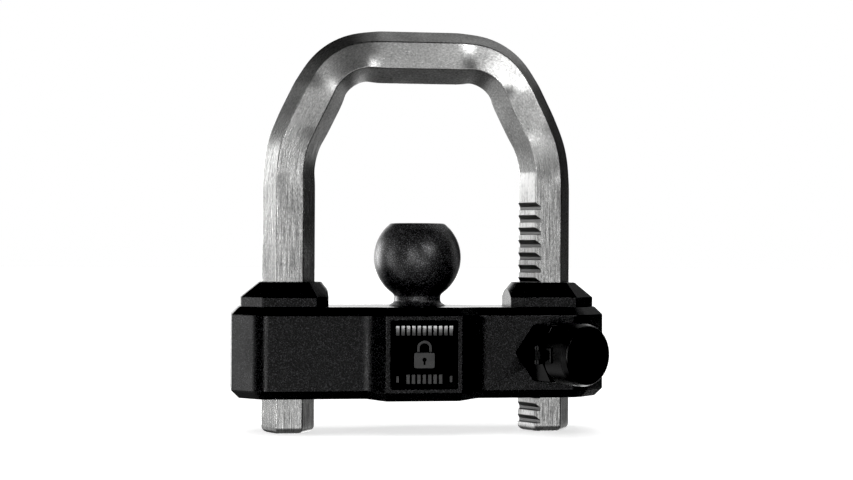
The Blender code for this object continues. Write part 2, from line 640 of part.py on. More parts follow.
def make_plug(turning, looks):
    """The plug, its wafers and its cam. turning is the empty on the lock's axis."""
    outline = [(0, PLUG_FRONT), (PLUG_RADIUS, PLUG_FRONT), (PLUG_RADIUS, PLUG_BACK), (0, PLUG_BACK)]
    plug = turned("key_plug", outline, looks["brass"], turning, steps=32)
    tail = box_mesh("tail", (-TAIL_HALF, -TAIL_HALF, TAIL_BACK), (TAIL_HALF, TAIL_HALF, PLUG_BACK + OVERLAP))
    boolean(plug, add("plug_tail", tail, None, turning), "UNION")
    keyway = box_mesh("keyway", (-KEYWAY_WIDTH / 2, -KEYWAY_HEIGHT / 2, KEYWAY_BACK),
                      (KEYWAY_WIDTH / 2, KEYWAY_HEIGHT / 2, PLUG_FRONT + OPEN))
    boolean(plug, add("keyway", keyway, None, turning))
    wide, thick = WAFER_WIDTH / 2 + GAP, WAFER_THICKNESS / 2 + GAP
    tall = PLUG_RADIUS + OPEN
    for k in range(WAFER_COUNT):
        middle = WAFER_FIRST + k * WAFER_PITCH
        name = f"wafer_{k + 1}"
        slot = box_mesh("slot", (-wide, -tall, middle - thick), (wide, tall, middle + thick))
        boolean(plug, add(name + "_slot", slot, None, turning))
        plate = box_mesh(name, (-WAFER_WIDTH / 2, -WAFER_HEIGHT / 2, middle - WAFER_THICKNESS / 2),
                         (WAFER_WIDTH / 2, WAFER_HEIGHT / 2, middle + WAFER_THICKNESS / 2))
        wafer = add(name, plate, looks["wafer_brass"], turning)
        window = box_mesh("window", (-WINDOW_HALF_WIDTH, WINDOW_LOW, middle - OPEN),
                          (WINDOW_HALF_WIDTH, WINDOW_HIGH, middle + OPEN))
        boolean(wafer, add(name + "_window", window, None, turning))
    disc = cylinder_mesh("plug_cam", CAM_RADIUS, CAM_BACK, CAM_FRONT)
    cam = add("plug_cam", disc, looks["hard_steel"], turning)
    pin_root = (CAM_BACK + CAM_FRONT) / 2
    pin = cylinder_mesh("cam_pin", CAM_PIN_RADIUS, CAM_PIN_BACK, pin_root, (-CAM_PIN_OFFSET, 0), 20)
    boolean(cam, add("cam_pin", pin, None, turning), "UNION")
    hole = TAIL_HALF + GAP
    square = box_mesh("cam_square", (-hole, -hole, TAIL_BACK - GAP), (hole, hole, CAM_FRONT + OPEN))
    boolean(cam, add("cam_square", square, None, turning))


def make_pawl(sliding, lock, looks):
    tall = PAWL_HALF_HEIGHT
    block = box_mesh("pawl", (PAWL_LEFT, -tall, PAWL_BACK), (PAWL_FACE, tall, PAWL_STEP))
    pawl = add("pawl", block, looks["hard_steel"], sliding)
    arm = box_mesh("arm", (PAWL_LEFT, -tall, PAWL_STEP - OVERLAP), (PAWL_SHOULDER, tall, PAWL_FRONT))
    boolean(pawl, add("pawl_arm", arm, None, sliding), "UNION")
    root = PAWL_FACE - OVERLAP / 2
    rise = (TIP_TOP_AT_FACE - TIP_TOP_AT_END) / (PAWL_TIP - PAWL_FACE)
    outline = [(root, TIP_BOTTOM), (PAWL_TIP, TIP_BOTTOM), (PAWL_TIP, TIP_TOP_AT_END),
               (root, TIP_TOP_AT_FACE + rise * (PAWL_FACE - root))]
    tip = prism_mesh("pawl_tip", outline, PAWL_BACK + TIP_INSET, PAWL_STEP - TIP_INSET)
    boolean(pawl, add("pawl_tip", tip, None, sliding), "UNION")
    seat = cylinder_mesh("spring_seat", SPRING_HOLE, PAWL_LEFT - OPEN, SPRING_SEAT,
                         (0, SPRING_DEPTH), 16, "X")
    boolean(pawl, add("spring_seat", seat, None, sliding))
    make_pawl_spring(lock, looks)


def make_pawl_spring(lock, looks):
    start = SPRING_HOLE_END + GAP + SPRING_WIRE
    end = SPRING_SEAT - GAP - SPRING_WIRE
    per_turn = 10
    count = SPRING_TURNS * per_turn + 1
    wire = bpy.data.curves.new("pawl_spring", "CURVE")
    wire.dimensions = "3D"
    line = wire.splines.new("POLY")
    line.points.add(count - 1)
    for i, point in enumerate(line.points):
        angle = 2 * math.pi * i / per_turn
        x = start + (end - start) * i / (count - 1)
        point.co = (x, SPRING_RADIUS * math.cos(angle), SPRING_DEPTH + SPRING_RADIUS * math.sin(angle), 1)
    wire.bevel_depth = SPRING_WIRE
    wire.bevel_resolution = 2
    wire.use_fill_caps = True
    add("pawl_spring", wire, looks["spring_steel"], lock)


def make_cap(hinge, lock, looks):
    """The cap hangs on an empty at the hinge, so its turned profile is moved back to the lock's axis."""
    at_lock = (-HINGE_X, 0, -HINGE_Z)
    edge = CAP_FRONT - (CAP_RADIUS - CAP_FACE_RADIUS)
    profile = [(0, CAP_FRONT), (CAP_FACE_RADIUS, CAP_FRONT), (CAP_RADIUS, edge), (CAP_RADIUS, CAP_BACK),
               (CAP_INSIDE_RADIUS, CAP_BACK), (CAP_INSIDE_RADIUS, CAP_INSIDE_FRONT), (0, CAP_INSIDE_FRONT)]
    cap = turned("dust_cap", profile, looks["satin_black"], hinge, steps=48, location=at_lock)
    knuckle = cylinder_mesh("knuckle", HINGE_RADIUS, -KNUCKLE_HALF, KNUCKLE_HALF, (0, 0), 20, "Y")
    boolean(cap, add("cap_knuckle", knuckle, None, hinge), "UNION")
    web_end = -CAP_INSIDE_RADIUS - CAP_WEB_SINK - HINGE_X
    web = box_mesh("cap_web", (-HINGE_RADIUS, -KNUCKLE_HALF, CAP_WEB_BACK),
                   (web_end, KNUCKLE_HALF, CAP_WEB_FRONT))
    boolean(cap, add("cap_web", web, None, hinge), "UNION")
    hole = cylinder_mesh("knuckle_hole", HINGE_PIN_RADIUS + GAP, -KNUCKLE_HALF - OPEN, KNUCKLE_HALF + OPEN,
                         (0, 0), 16, "Y")
    boolean(cap, add("knuckle_hole", hole, None, hinge))
    seal_front = CAP_INSIDE_FRONT - GAP
    seal_back = seal_front - CAP_SEAL_THICKNESS
    outer, inner = CAP_INSIDE_RADIUS - GAP, CAP_SEAL_RADIUS
    ring = [(inner, seal_front), (outer, seal_front), (outer, seal_back), (inner, seal_back)]
    turned("cap_seal", ring, looks["rubber"], hinge, closed=True, location=at_lock)
    half = EAR_HALF + PIN_PROUD
    pin = cylinder_mesh("cap_hinge_pin", HINGE_PIN_RADIUS, -half, half, (HINGE_Z, HINGE_X), 16, "Y")
    add("cap_hinge_pin", pin, looks["zinc"], lock)


# ---------------------------------------------------------------- assembly

def make_looks():
    return {
        "steel": material("shackle_steel", (0.55, 0.55, 0.54), 0.38, 1.0),
        "powder_coat": material("powder_coat", (0.018, 0.018, 0.019), 0.55, 0.0),
        "ball_coat": material("ball_coat", (0.016, 0.016, 0.017), 0.45, 0.0),
        "satin_black": material("satin_black", (0.012, 0.012, 0.013), 0.35, 0.0),
        "gloss_black": material("gloss_black", (0.008, 0.008, 0.009), 0.12, 0.0),
        "zinc": material("zinc_plate", (0.62, 0.62, 0.63), 0.35, 1.0),
        "brass": material("plug_brass", (0.70, 0.52, 0.25), 0.30, 1.0),
        "wafer_brass": material("wafer_brass", (0.66, 0.48, 0.22), 0.35, 1.0),
        "hard_steel": material("hard_steel", (0.38, 0.38, 0.40), 0.35, 1.0),
        "spring_steel": material("spring_steel", (0.45, 0.45, 0.47), 0.30, 1.0),
        "rubber": material("seal_rubber", (0.02, 0.02, 0.02), 0.80, 0.0),
        "foam": material("adhesive_foam", (0.08, 0.08, 0.08), 0.90, 0.0),
    }


def main():
    clear_scene()
    new_collection(PARTS)
    new_collection(CUTTERS)
    looks = make_looks()
    frame = empty("frame", (0, FRAME_Y, 0))
    lock = empty("lock_axis", (LOCK_X, -BODY_HALF_DEPTH, LOCK_Z), (math.radians(90), 0, LOCK_TURN), frame)
    turning = empty("plug_axis", (0, 0, 0), (0, 0, 0), lock)
    sliding = empty("pawl_slide", (0, 0, 0), (0, 0, 0), lock)
    front = empty("body_front", (0, 0, 0), (0, -LOCK_TURN, 0), lock)
    hinge = empty("cap_hinge", (HINGE_X, 0, HINGE_Z), (0, 0, 0), lock)
    make_shackle(frame, looks)
    make_body(frame, lock, looks)
    make_ball(frame, looks)
    make_badge(frame, looks)
    make_housing(lock, front, looks)
    make_cylinder(lock, looks)
    make_plug(turning, looks)
    make_pawl(sliding, lock, looks)
    make_cap(hinge, lock, looks)


main()
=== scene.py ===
import math

import bmesh
import bpy
from mathutils import Matrix, Vector


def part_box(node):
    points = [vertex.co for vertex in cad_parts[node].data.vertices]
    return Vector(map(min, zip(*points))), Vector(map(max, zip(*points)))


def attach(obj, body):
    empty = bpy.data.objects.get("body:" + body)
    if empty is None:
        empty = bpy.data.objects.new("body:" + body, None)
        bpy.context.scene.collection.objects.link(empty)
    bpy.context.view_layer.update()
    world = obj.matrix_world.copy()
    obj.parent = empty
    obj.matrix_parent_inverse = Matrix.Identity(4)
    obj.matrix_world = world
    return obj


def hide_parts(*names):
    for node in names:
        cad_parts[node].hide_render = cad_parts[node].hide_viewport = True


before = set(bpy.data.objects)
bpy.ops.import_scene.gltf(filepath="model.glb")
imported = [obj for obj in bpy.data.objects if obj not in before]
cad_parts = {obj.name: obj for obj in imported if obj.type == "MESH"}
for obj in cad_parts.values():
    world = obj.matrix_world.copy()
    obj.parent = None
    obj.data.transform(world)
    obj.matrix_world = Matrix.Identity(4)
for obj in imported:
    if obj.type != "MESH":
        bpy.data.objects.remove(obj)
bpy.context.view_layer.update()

MM = 0.001
BALL_LOW, BALL_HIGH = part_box("coupler_ball")
AXIS_Y = (BALL_LOW.y + BALL_HIGH.y) / 2        # the plane of the legs and the ball's axis
MIDDLE = Matrix.Translation((0, AXIS_Y, 0))
QUARTER = math.radians(90)

# Shackle: across flats, corner fillet, leg's distance from the middle, rounding of the ends
BAR_FLATS = 25.0 * MM
BAR_EDGE = 1.1 * MM
LEG_X = 70.6 * MM
END_ROUND = 3.6 * MM
SHACKLE_CORNERS = [(-70.6, 0), (-70.6, 152.0), (-44.8, 204.4), (44.8, 204.4), (70.6, 152.0), (70.6, 0)]   # mm
SHACKLE_RADII = [55.0, 29.0, 29.0, 55.0]       # mm, one for each bend
PATH_STEP = 2.0 * MM
INNER_SWELL, OUTER_SWELL = 0.42, 0.12          # how the bar's section changes in a bend
NOTCH_PITCH = 6.86 * MM
NOTCH_COUNT = 18
NOTCH_LEDGE = 4.58 * MM                        # height of the lowest ledge
NOTCH_DEPTH, NOTCH_FLOOR, NOTCH_RAMP = 2.8 * MM, 1.9 * MM, 2.35 * MM
NOTCHES_END = 141.5 * MM                       # height at which the milled flat ends

# Body, in mm
BODY_BOTTOM, BODY_TOP, BODY_CHAMFER = 19.4, 68.4, 4.3
BODY_END, BODY_CORNER, BODY_FRONT = 101.5, 87.0, 26.0
BLOCK_FOOT, BLOCK_HALF, BLOCK_FRONT = 29.8, 20.5, 31.0
BLOCK_DROP = 1.1                               # how far the block's underside hangs below the wings'
TOWER_SHOULDER, TOWER_TOP, TOWER_SLOPE = 73.4, 81.6, 7.0
HOLE_FLATS, HOLE_MOUTH = 25.6, 27.4

# Ball, in mm
BALL_CENTRE, BALL_RADIUS, BALL_FLAT = 94.9, 23.81, 113.6
NECK_RADIUS, FLARE_RADIUS, SHANK_RADIUS = 12.7, 15.7, 10.0
SHANK_LOW, THREAD_RADIUS, THREAD_TOP = 36.0, 6.3, 60.0

# Badge, in mm. Its relief's depths are measured outward from BADGE_FLOOR.
BADGE_MIDDLE = 43.4
BADGE_FLOOR = -29.9
BADGE_HALF_X, BADGE_HALF_Z = 17.6, 17.7

# Key lock's own frame: X towards the notched leg, Y up, Z outward along the lock's axis
LOCK_AT = Vector((69.5 * MM, AXIS_Y - 26.0 * MM, 44.0 * MM))
LOCK_TURN = math.radians(30)
OUTWARD = Matrix.Rotation(LOCK_TURN, 4, "Z") @ Matrix.Rotation(QUARTER, 4, "X")
LOCK = Matrix.Translation(LOCK_AT) @ OUTWARD
HINGE_X, HINGE_Z = -19.0 * MM, 10.6 * MM
AT_HINGE = LOCK @ Matrix.Translation((HINGE_X, 0, HINGE_Z))
HINGE_LINE = AT_HINGE @ Matrix.Rotation(-QUARTER, 4, "X")
CYLINDER_BORE = 10.3 * MM
BARREL_RADIUS, SPIGOT_RADIUS = 12.0, 11.7      # mm
HOUSING_FLATS = 30.4 * MM
CAP_RADIUS = 16.5                              # mm
KNUCKLE_RADIUS, PIN_HOLE_RADIUS = 2.2 * MM, 1.3 * MM


# ------------------------------------------------------------------ shapes

def fillet(points, radii, steps, closed=True):
    """Rounds each corner of a flat outline with steps + 1 points. Ends of an open line stay as they are."""
    made = []
    count = len(points)
    for i in range(count):
        here = Vector(points[i])
        if not closed and i in (0, count - 1):
            made.append(here)
            continue
        radius = radii[i] if isinstance(radii, (list, tuple)) else radii
        to_before = (Vector(points[i - 1]) - here).normalized()
        to_after = (Vector(points[(i + 1) % count]) - here).normalized()
        half = to_before.angle(to_after) / 2
        centre = here + (to_before + to_after).normalized() * radius / math.sin(half)
        start = here + to_before * radius / math.tan(half) - centre
        end = here + to_after * radius / math.tan(half) - centre
        sweep = math.pi - 2 * half
        for k in range(steps + 1):
            share = k / steps
            made.append(centre + (start * math.sin((1 - share) * sweep) + end * math.sin(share * sweep))
                        / math.sin(sweep))
    return made


def inset(points, radii, distance, smallest):
    """An anticlockwise outline moved inward, with the radii that keep its fillets concentric."""
    moved, rounded = [], []
    count = len(points)
    for i in range(count):
        here = Vector(points[i])
        first = (here - Vector(points[i - 1])).normalized()
        second = (Vector(points[(i + 1) % count]) - here).normalized()
        n1, n2 = Vector((-first.y, first.x)), Vector((-second.y, second.x))
        moved.append(here + (n1 + n2) / (1 + n1.dot(n2)) * distance)
        convex = first.x * second.y - first.y * second.x > 0
        rounded.append(max(radii[i] - distance, smallest) if convex else radii[i] + distance)
    return moved, rounded


def mesh_from(name, bm):
    bmesh.ops.recalc_face_normals(bm, faces=bm.faces)
    mesh = bpy.data.meshes.new(name)
    bm.to_mesh(mesh)
    bm.free()
    return mesh


def loft(name, sections, strips=False):
    """Sections with equal numbers of points joined by quads. An end is one face, or strips across it."""
    bm = bmesh.new()
    rings = [[bm.verts.new(point) for point in section] for section in sections]
    count = len(rings[0])
    for below, above in zip(rings, rings[1:]):
        for i in range(count):
            j = (i + 1) % count
            bm.faces.new((below[i], below[j], above[j], above[i]))
    for ring in (rings[0], rings[-1]):
        if strips:
            half = count // 2
            for i in range(half - 1):
                bm.faces.new((ring[i], ring[i + 1], ring[count - 2 - i], ring[count - 1 - i]))
        else:
            bm.faces.new(ring)
    return mesh_from(name, bm)


def thing(name, mesh, matrix=None):
    made = bpy.data.objects.new(name, mesh)
    bpy.context.scene.collection.objects.link(made)
    if matrix is not None:
        made.matrix_world = matrix
    return made


def box(name, low, high, matrix=None):
    bm = bmesh.new()
    bmesh.ops.create_cube(bm, size=1.0)
    low, high = Vector(low), Vector(high)
    bmesh.ops.scale(bm, vec=high - low, verts=bm.verts)
    bmesh.ops.translate(bm, vec=(low + high) / 2, verts=bm.verts)
    return thing(name, mesh_from(name, bm), matrix)


def rod(name, radius, low, high, matrix, sides=64):
    """A cylinder along Z."""
    bm = bmesh.new()
    bmesh.ops.create_cone(bm, cap_ends=True, segments=sides, radius1=radius, radius2=radius, depth=high - low)
    bmesh.ops.translate(bm, vec=(0, 0, (low + high) / 2), verts=bm.verts)
    return thing(name, mesh_from(name, bm), matrix)


def turned(name, profile, matrix, steps=96):
    """A closed or axis-to-axis profile of (radius, height), spun about Z."""
    rings = []
    bm = bmesh.new()
    for radius, height in profile:
        if radius < 1e-9:
            rings.append([bm.verts.new((0, 0, height))])
        else:
            rings.append([bm.verts.new((radius * math.cos(a), radius * math.sin(a), height))
                          for a in (2 * math.pi * k / steps for k in range(steps))])
    pairs = list(zip(rings, rings[1:]))
    if len(rings[0]) > 1:
        pairs.append((rings[-1], rings[0]))
    for one, two in pairs:
        for k in range(steps):
            n = (k + 1) % steps
            corners = [one[k % len(one)], one[n % len(one)], two[n % len(two)], two[k % len(two)]]
            face = []
            for corner in corners:
                if corner not in face:
                    face.append(corner)
            if len(face) > 2:
                bm.faces.new(face)
    return thing(name, mesh_from(name, bm), matrix)


def combine(base, others, operation):
    for other in others:
        step = base.modifiers.new(other.name, "BOOLEAN")
        step.operation = operation
        step.object = other
        step.solver = "EXACT"


def baked(base, name, cutters, angle):
    """Applies everything on base, throws the helpers away, and gives a smooth-shaded piece in world space."""
    bpy.context.view_layer.update()
    graph = bpy.context.evaluated_depsgraph_get()
    mesh = bpy.data.meshes.new_from_object(base.evaluated_get(graph))
    mesh.transform(base.matrix_world)
    mesh.name = name
    for old in [base, *cutters]:
        bpy.data.objects.remove(old)
    bm = bmesh.new()
    bm.from_mesh(mesh)
    bmesh.ops.remove_doubles(bm, verts=bm.verts, dist=1e-6)
    bmesh.ops.dissolve_degenerate(bm, edges=bm.edges, dist=1e-6)
    bmesh.ops.recalc_face_normals(bm, faces=bm.faces)
    bm.to_mesh(mesh)
    bm.free()
    mesh.materials.clear()
    mesh.shade_smooth()
    mesh.set_sharp_from_angle(angle=math.radians(angle))
    made = thing(name, mesh)
    weighted = made.modifiers.new("even_normals", "WEIGHTED_NORMAL")
    weighted.keep_sharp = True
    return made


def hexagon(flats, radius=0.0, steps=6):
    corner = flats / 2 / math.cos(math.radians(30))
    turns = [math.radians(60 * k) for k in range(6)]
    sharp = [(corner * math.cos(turn), corner * math.sin(turn)) for turn in turns]
    return fillet(sharp, radius, steps) if radius else [Vector(p) for p in sharp]


# ------------------------------------------------------------------ materials

class Look:
    """A Principled material with short ways to add nodes."""

    def __init__(self, name, colour, roughness, metallic=0.0):
        self.material = bpy.data.materials.new(name)
        self.material.use_nodes = True
        self.tree = self.material.node_tree
        self.shader = self.tree.nodes["Principled BSDF"]
        self.shader.inputs["Base Color"].default_value = (*colour, 1)
        self.shader.inputs["Roughness"].default_value = roughness
        self.shader.inputs["Metallic"].default_value = metallic
        self.coordinates = self.tree.nodes.new("ShaderNodeTexCoord").outputs["Object"]

    def node(self, kind, **values):
        made = self.tree.nodes.new(kind)
        for key, value in values.items():
            setattr(made, key, value)
        return made

    def link(self, source, target):
        self.tree.links.new(source, target)

    def stretched(self, scale, rotation=(0, 0, 0), source=None, location=(0, 0, 0)):
        mapping = self.node("ShaderNodeMapping")
        mapping.inputs["Scale"].default_value = scale
        mapping.inputs["Rotation"].default_value = rotation
        mapping.inputs["Location"].default_value = location
        self.link(source or self.coordinates, mapping.inputs["Vector"])
        return mapping.outputs["Vector"]

    def noise(self, scale, detail, rough=0.5, vector=None):
        made = self.node("ShaderNodeTexNoise")
        made.inputs["Scale"].default_value = scale
        made.inputs["Detail"].default_value = detail
        made.inputs["Roughness"].default_value = rough
        self.link(vector or self.coordinates, made.inputs["Vector"])
        return made.outputs["Fac"]

    def remap(self, value, low, high, to_low, to_high):
        made = self.node("ShaderNodeMapRange")
        for key, number in (("From Min", low), ("From Max", high), ("To Min", to_low), ("To Max", to_high)):
            made.inputs[key].default_value = number
        self.link(value, made.inputs["Value"])
        return made.outputs["Result"]

    def math(self, operation, first, second):
        made = self.node("ShaderNodeMath", operation=operation)
        for socket, value in zip(made.inputs, (first, second)):
            if isinstance(value, (int, float)):
                socket.default_value = value
            else:
                self.link(value, socket)
        return made.outputs["Value"]

    def ramp(self, value, stops):
        made = self.node("ShaderNodeValToRGB")
        elements = made.color_ramp.elements
        while len(elements) < len(stops):
            elements.new(0.5)
        for element, (place, colour) in zip(elements, stops):
            element.position = place
            element.color = (*colour, 1)
        self.link(value, made.inputs["Fac"])
        return made.outputs["Color"]

    def bump(self, layers):
        """layers of (height, distance in metres), each laid on the last."""
        normal = None
        for height, distance in layers:
            made = self.node("ShaderNodeBump")
            made.inputs["Strength"].default_value = 1.0
            made.inputs["Distance"].default_value = distance
            self.link(height, made.inputs["Height"])
            if normal:
                self.link(normal, made.inputs["Normal"])
            normal = made.outputs["Normal"]
        self.link(normal, self.shader.inputs["Normal"])

    def set(self, key, source):
        self.link(source, self.shader.inputs[key])


def powder_coat(name, colour, roughness, grain, height, gloss, sparkle):
    """Textured paint: round grains with finer pits. The grains' tops are sparkle times paler, and shinier."""
    look = Look(name, colour, roughness)
    grains = look.noise(grain, 1.0, 0.6)
    tops = look.remap(grains, 0.40, 0.70, 0, 1)
    pits = look.noise(grain * 2.2, 2.0, 0.5)
    clouds = look.noise(45, 3.0, 0.55)
    look.bump([(grains, height), (pits, height * 0.4)])
    dark = tuple(c * 0.3 for c in colour)
    light = tuple(c * sparkle for c in colour)
    look.set("Base Color", look.ramp(tops, [(0.15, dark), (0.4, colour), (1.0, light)]))
    look.set("Metallic", look.math("MULTIPLY", tops, 0.6))
    look.set("Roughness", look.remap(clouds, 0.3, 0.7, roughness - 0.04, roughness + 0.06))
    look.shader.inputs["Specular IOR Level"].default_value = gloss
    return look.material


def notch_light_and_shade_masks(look):
    """Where the notched leg's milled flat is, between the notches, and where the notches' own faces are:
    masks for a painted highlight on the flat and painted shade in the notches.
    """
    place = look.node("ShaderNodeSeparateXYZ")
    look.link(look.coordinates, place.inputs["Vector"])
    x, y, z = (place.outputs[axis] for axis in "XYZ")
    sideways = look.math("MULTIPLY", look.math("SUBTRACT", LEG_X, x), math.cos(LOCK_TURN))
    forward = look.math("SUBTRACT", AXIS_Y, y)
    half_forward = look.math("MULTIPLY", forward, math.sin(LOCK_TURN))
    reach = look.math("ADD", sideways, half_forward)
    reach_behind = look.math("SUBTRACT", sideways, half_forward)
    outer = BAR_FLATS / 2
    below_end = look.remap(z, NOTCHES_END - 1 * MM, NOTCHES_END + 1 * MM, 1, 0)
    right_half = look.remap(x, 30 * MM, 32 * MM, 0, 1)
    here = look.math("MULTIPLY", below_end, right_half)
    land = look.math("MULTIPLY", look.remap(reach, outer - 0.6 * MM, outer - 0.1 * MM, 0, 1), here)
    cut = look.math("MULTIPLY", look.remap(reach, outer - 4.5 * MM, outer - 4.1 * MM, 0, 1), here)
    for distance in (reach, reach_behind, forward):
        cut = look.math("MULTIPLY", cut, look.remap(distance, outer - 0.5 * MM, outer - 0.1 * MM, 1, 0))
    return land, cut


def shackle_steel():
    """Bright drawn steel. The UV map runs round the bar in U and along it in V, in metres."""
    look = Look("shackle_steel_rolled", (0.6, 0.6, 0.59), 0.32, 1.0)
    uv = look.node("ShaderNodeUVMap", uv_map="grain").outputs["UV"]
    lines = look.noise(1.0, 3.0, 0.6, look.stretched((1500, 60, 1), source=uv))
    fine = look.noise(1.0, 2.0, 0.5, look.stretched((2600, 500, 1), source=uv))
    mottle = look.noise(1.0, 3.0, 0.6, look.stretched((900, 800, 1), source=uv))
    patches = look.noise(1.0, 3.0, 0.6, look.stretched((60, 40, 1), source=uv))
    split = look.node("ShaderNodeSeparateXYZ")
    look.link(uv, split.inputs["Vector"])
    along = split.outputs["Y"]
    rise = look.remap(along, 0.150, 0.185, 0, 1)
    fall = look.remap(along, 0.330, 0.372, 1, 0)
    arch = look.math("MULTIPLY", rise, fall)
    marks = None
    for angle, seed, length in ((0.5, 3.1, 90), (-0.9, 7.7, 120), (1.35, 12.4, 70)):
        turned_uv = look.stretched((2600, length, 1), (0, 0, angle), uv, (seed, seed, 0))
        line = look.remap(look.noise(1.0, 0.0, 0.5, turned_uv), 0.80, 0.86, 0, 1)
        marks = line if marks is None else look.math("MAXIMUM", marks, line)
    grain = look.math("ADD", look.math("MULTIPLY", lines, 0.6), look.math("MULTIPLY", fine, 0.4))
    rough_grain = look.math("ADD", look.math("MULTIPLY", mottle, 0.3), look.math("MULTIPLY", fine, 0.25))
    rough_grain = look.math("ADD", rough_grain, 0.225)
    mix = look.node("ShaderNodeMix", data_type="FLOAT")
    look.link(arch, mix.inputs[0])
    look.link(grain, mix.inputs[2])
    look.link(rough_grain, mix.inputs[3])
    blended = mix.outputs[0]
    tone = look.math("ADD", look.math("MULTIPLY", blended, 0.8), look.math("MULTIPLY", patches, 0.2))
    land, cut = notch_light_and_shade_masks(look)
    # painted highlight: the lands between the notches are made paler (they are also made rougher below)
    tone = look.math("ADD", tone, look.math("MULTIPLY", land, 0.1))
    # painted shade: the notches' own faces are made darker
    tone = look.math("SUBTRACT", tone, look.math("MULTIPLY", cut, 0.09))
    look.set("Base Color", look.ramp(tone, [(0.38, (0.16, 0.16, 0.16)), (0.5, (0.50, 0.50, 0.495)),
                                            (0.62, (0.92, 0.92, 0.91))]))
    roughness = look.math("ADD", look.remap(tone, 0.35, 0.65, 0.32, 0.22), look.math("MULTIPLY", arch, 0.04))
    roughness = look.math("SUBTRACT", roughness, look.math("MULTIPLY", marks, 0.06))
    roughness = look.math("ADD", roughness, look.math("MULTIPLY", land, 0.22))
    look.set("Roughness", look.math("ADD", roughness, look.math("MULTIPLY", cut, 0.15)))
    look.bump([(look.noise(1.0, 2.0, 0.5, look.stretched((120, 60, 1), source=uv)), 0.00010),
               (blended, 0.00003), (marks, 0.00001)])
    return look.material


def satin(name, colour, roughness, wobble=0.00001, scale=900, gloss=0.5):
    """Smooth finish with a faint orange peel and cloudy gloss."""
    look = Look(name, colour, roughness)
    clouds = look.noise(70, 4.0, 0.6)
    look.set("Roughness", look.remap(clouds, 0.3, 0.7, roughness * 0.85, roughness * 1.2))
    dark = tuple(c * 0.8 for c in colour)
    light = tuple(min(1.0, c * 1.2) for c in colour)
    look.set("Base Color", look.ramp(look.noise(scale * 0.4, 3.0), [(0.3, dark), (0.7, light)]))
    look.bump([(look.noise(scale, 2.0), wobble)])
    look.shader.inputs["Specular IOR Level"].default_value = gloss
    return look.material


def badge_relief_painted_highlight():
    """Dull metal relief with a painted highlight: its colour turns pale along the top of the upper row."""
    look = Look("badge_relief_satin", (0.1, 0.1, 0.1), 0.3, 1.0)
    split = look.node("ShaderNodeSeparateXYZ")
    look.link(look.coordinates, split.inputs["Vector"])
    height = look.remap(split.outputs["Z"], 0.0330, 0.0590, 0, 1)
    wear = look.math("MULTIPLY", look.noise(1500, 3.0), 0.10)
    tone = look.math("ADD", height, look.math("SUBTRACT", wear, 0.05))
    # painted highlight: the base colour goes from near black to pale towards the top of the upper row of ribs
    look.set("Base Color", look.ramp(tone, [(0.0, (0.09, 0.09, 0.09)), (0.84, (0.08, 0.08, 0.08)),
                                            (0.93, (0.30, 0.30, 0.30)), (0.97, (0.9, 0.9, 0.9))]))
    look.set("Roughness", look.remap(look.noise(300, 3.0, 0.6), 0.3, 0.7, 0.24, 0.38))
    look.bump([(look.noise(1200, 2.0), 0.00001)])
    return look.material


def machined(name, colour, roughness, direction):
    """Bare or plated metal with fine tool lines across one direction."""
    look = Look(name, colour, roughness, 1.0)
    lines = look.noise(1.0, 2.0, 0.5, look.stretched(direction))
    clouds = look.noise(120, 3.0, 0.6)
    look.set("Roughness", look.remap(lines, 0.3, 0.7, roughness * 0.8, roughness * 1.25))
    dark = tuple(c * 0.8 for c in colour)
    look.set("Base Color", look.ramp(clouds, [(0.3, dark), (0.7, colour)]))
    look.bump([(lines, 0.00001)])
    return look.material


# ------------------------------------------------------------------ shackle

def shackle_path():
    """Points and the bend's curvature at each, in metres, at even steps along the bar."""
    corners = [Vector((x, z)) * MM for x, z in SHACKLE_CORNERS]
    raw = [(corners[0], 0.0)]
    for i, radius in enumerate(SHACKLE_RADII):
        radius = radius * MM
        before, corner, after = corners[i], corners[i + 1], corners[i + 2]
        arriving = (corner - before).normalized()
        leaving = (after - corner).normalized()
        bend = arriving.angle(leaving)
        start = corner - arriving * radius * math.tan(bend / 2)
        here = raw[-1][0]
        runs = max(1, round((start - here).length / PATH_STEP))
        raw += [(here.lerp(start, k / runs), 0.0) for k in range(1, runs)]
        inward = (leaving - arriving * arriving.dot(leaving)).normalized()
        centre = start + inward * radius
        count = max(4, round(bend * radius / PATH_STEP))
        raw += [(centre - inward * radius * math.cos(bend * k / count)
                 + arriving * radius * math.sin(bend * k / count), 1 / radius) for k in range(count + 1)]
    here = raw[-1][0]
    runs = round((corners[-1] - here).length / PATH_STEP)
    raw += [(here.lerp(corners[-1], k / runs), 0.0) for k in range(1, runs + 1)]
    rise = [END_ROUND * (1 - math.cos(math.radians(15 * k))) for k in range(7)]
    middle = [(p, b) for p, b in raw if p.y > END_ROUND * 1.2]
    first = [(Vector((corners[0].x, h)), 0.0) for h in rise]
    last = [(Vector((corners[-1].x, h)), 0.0) for h in reversed(rise)]
    return first + middle + last


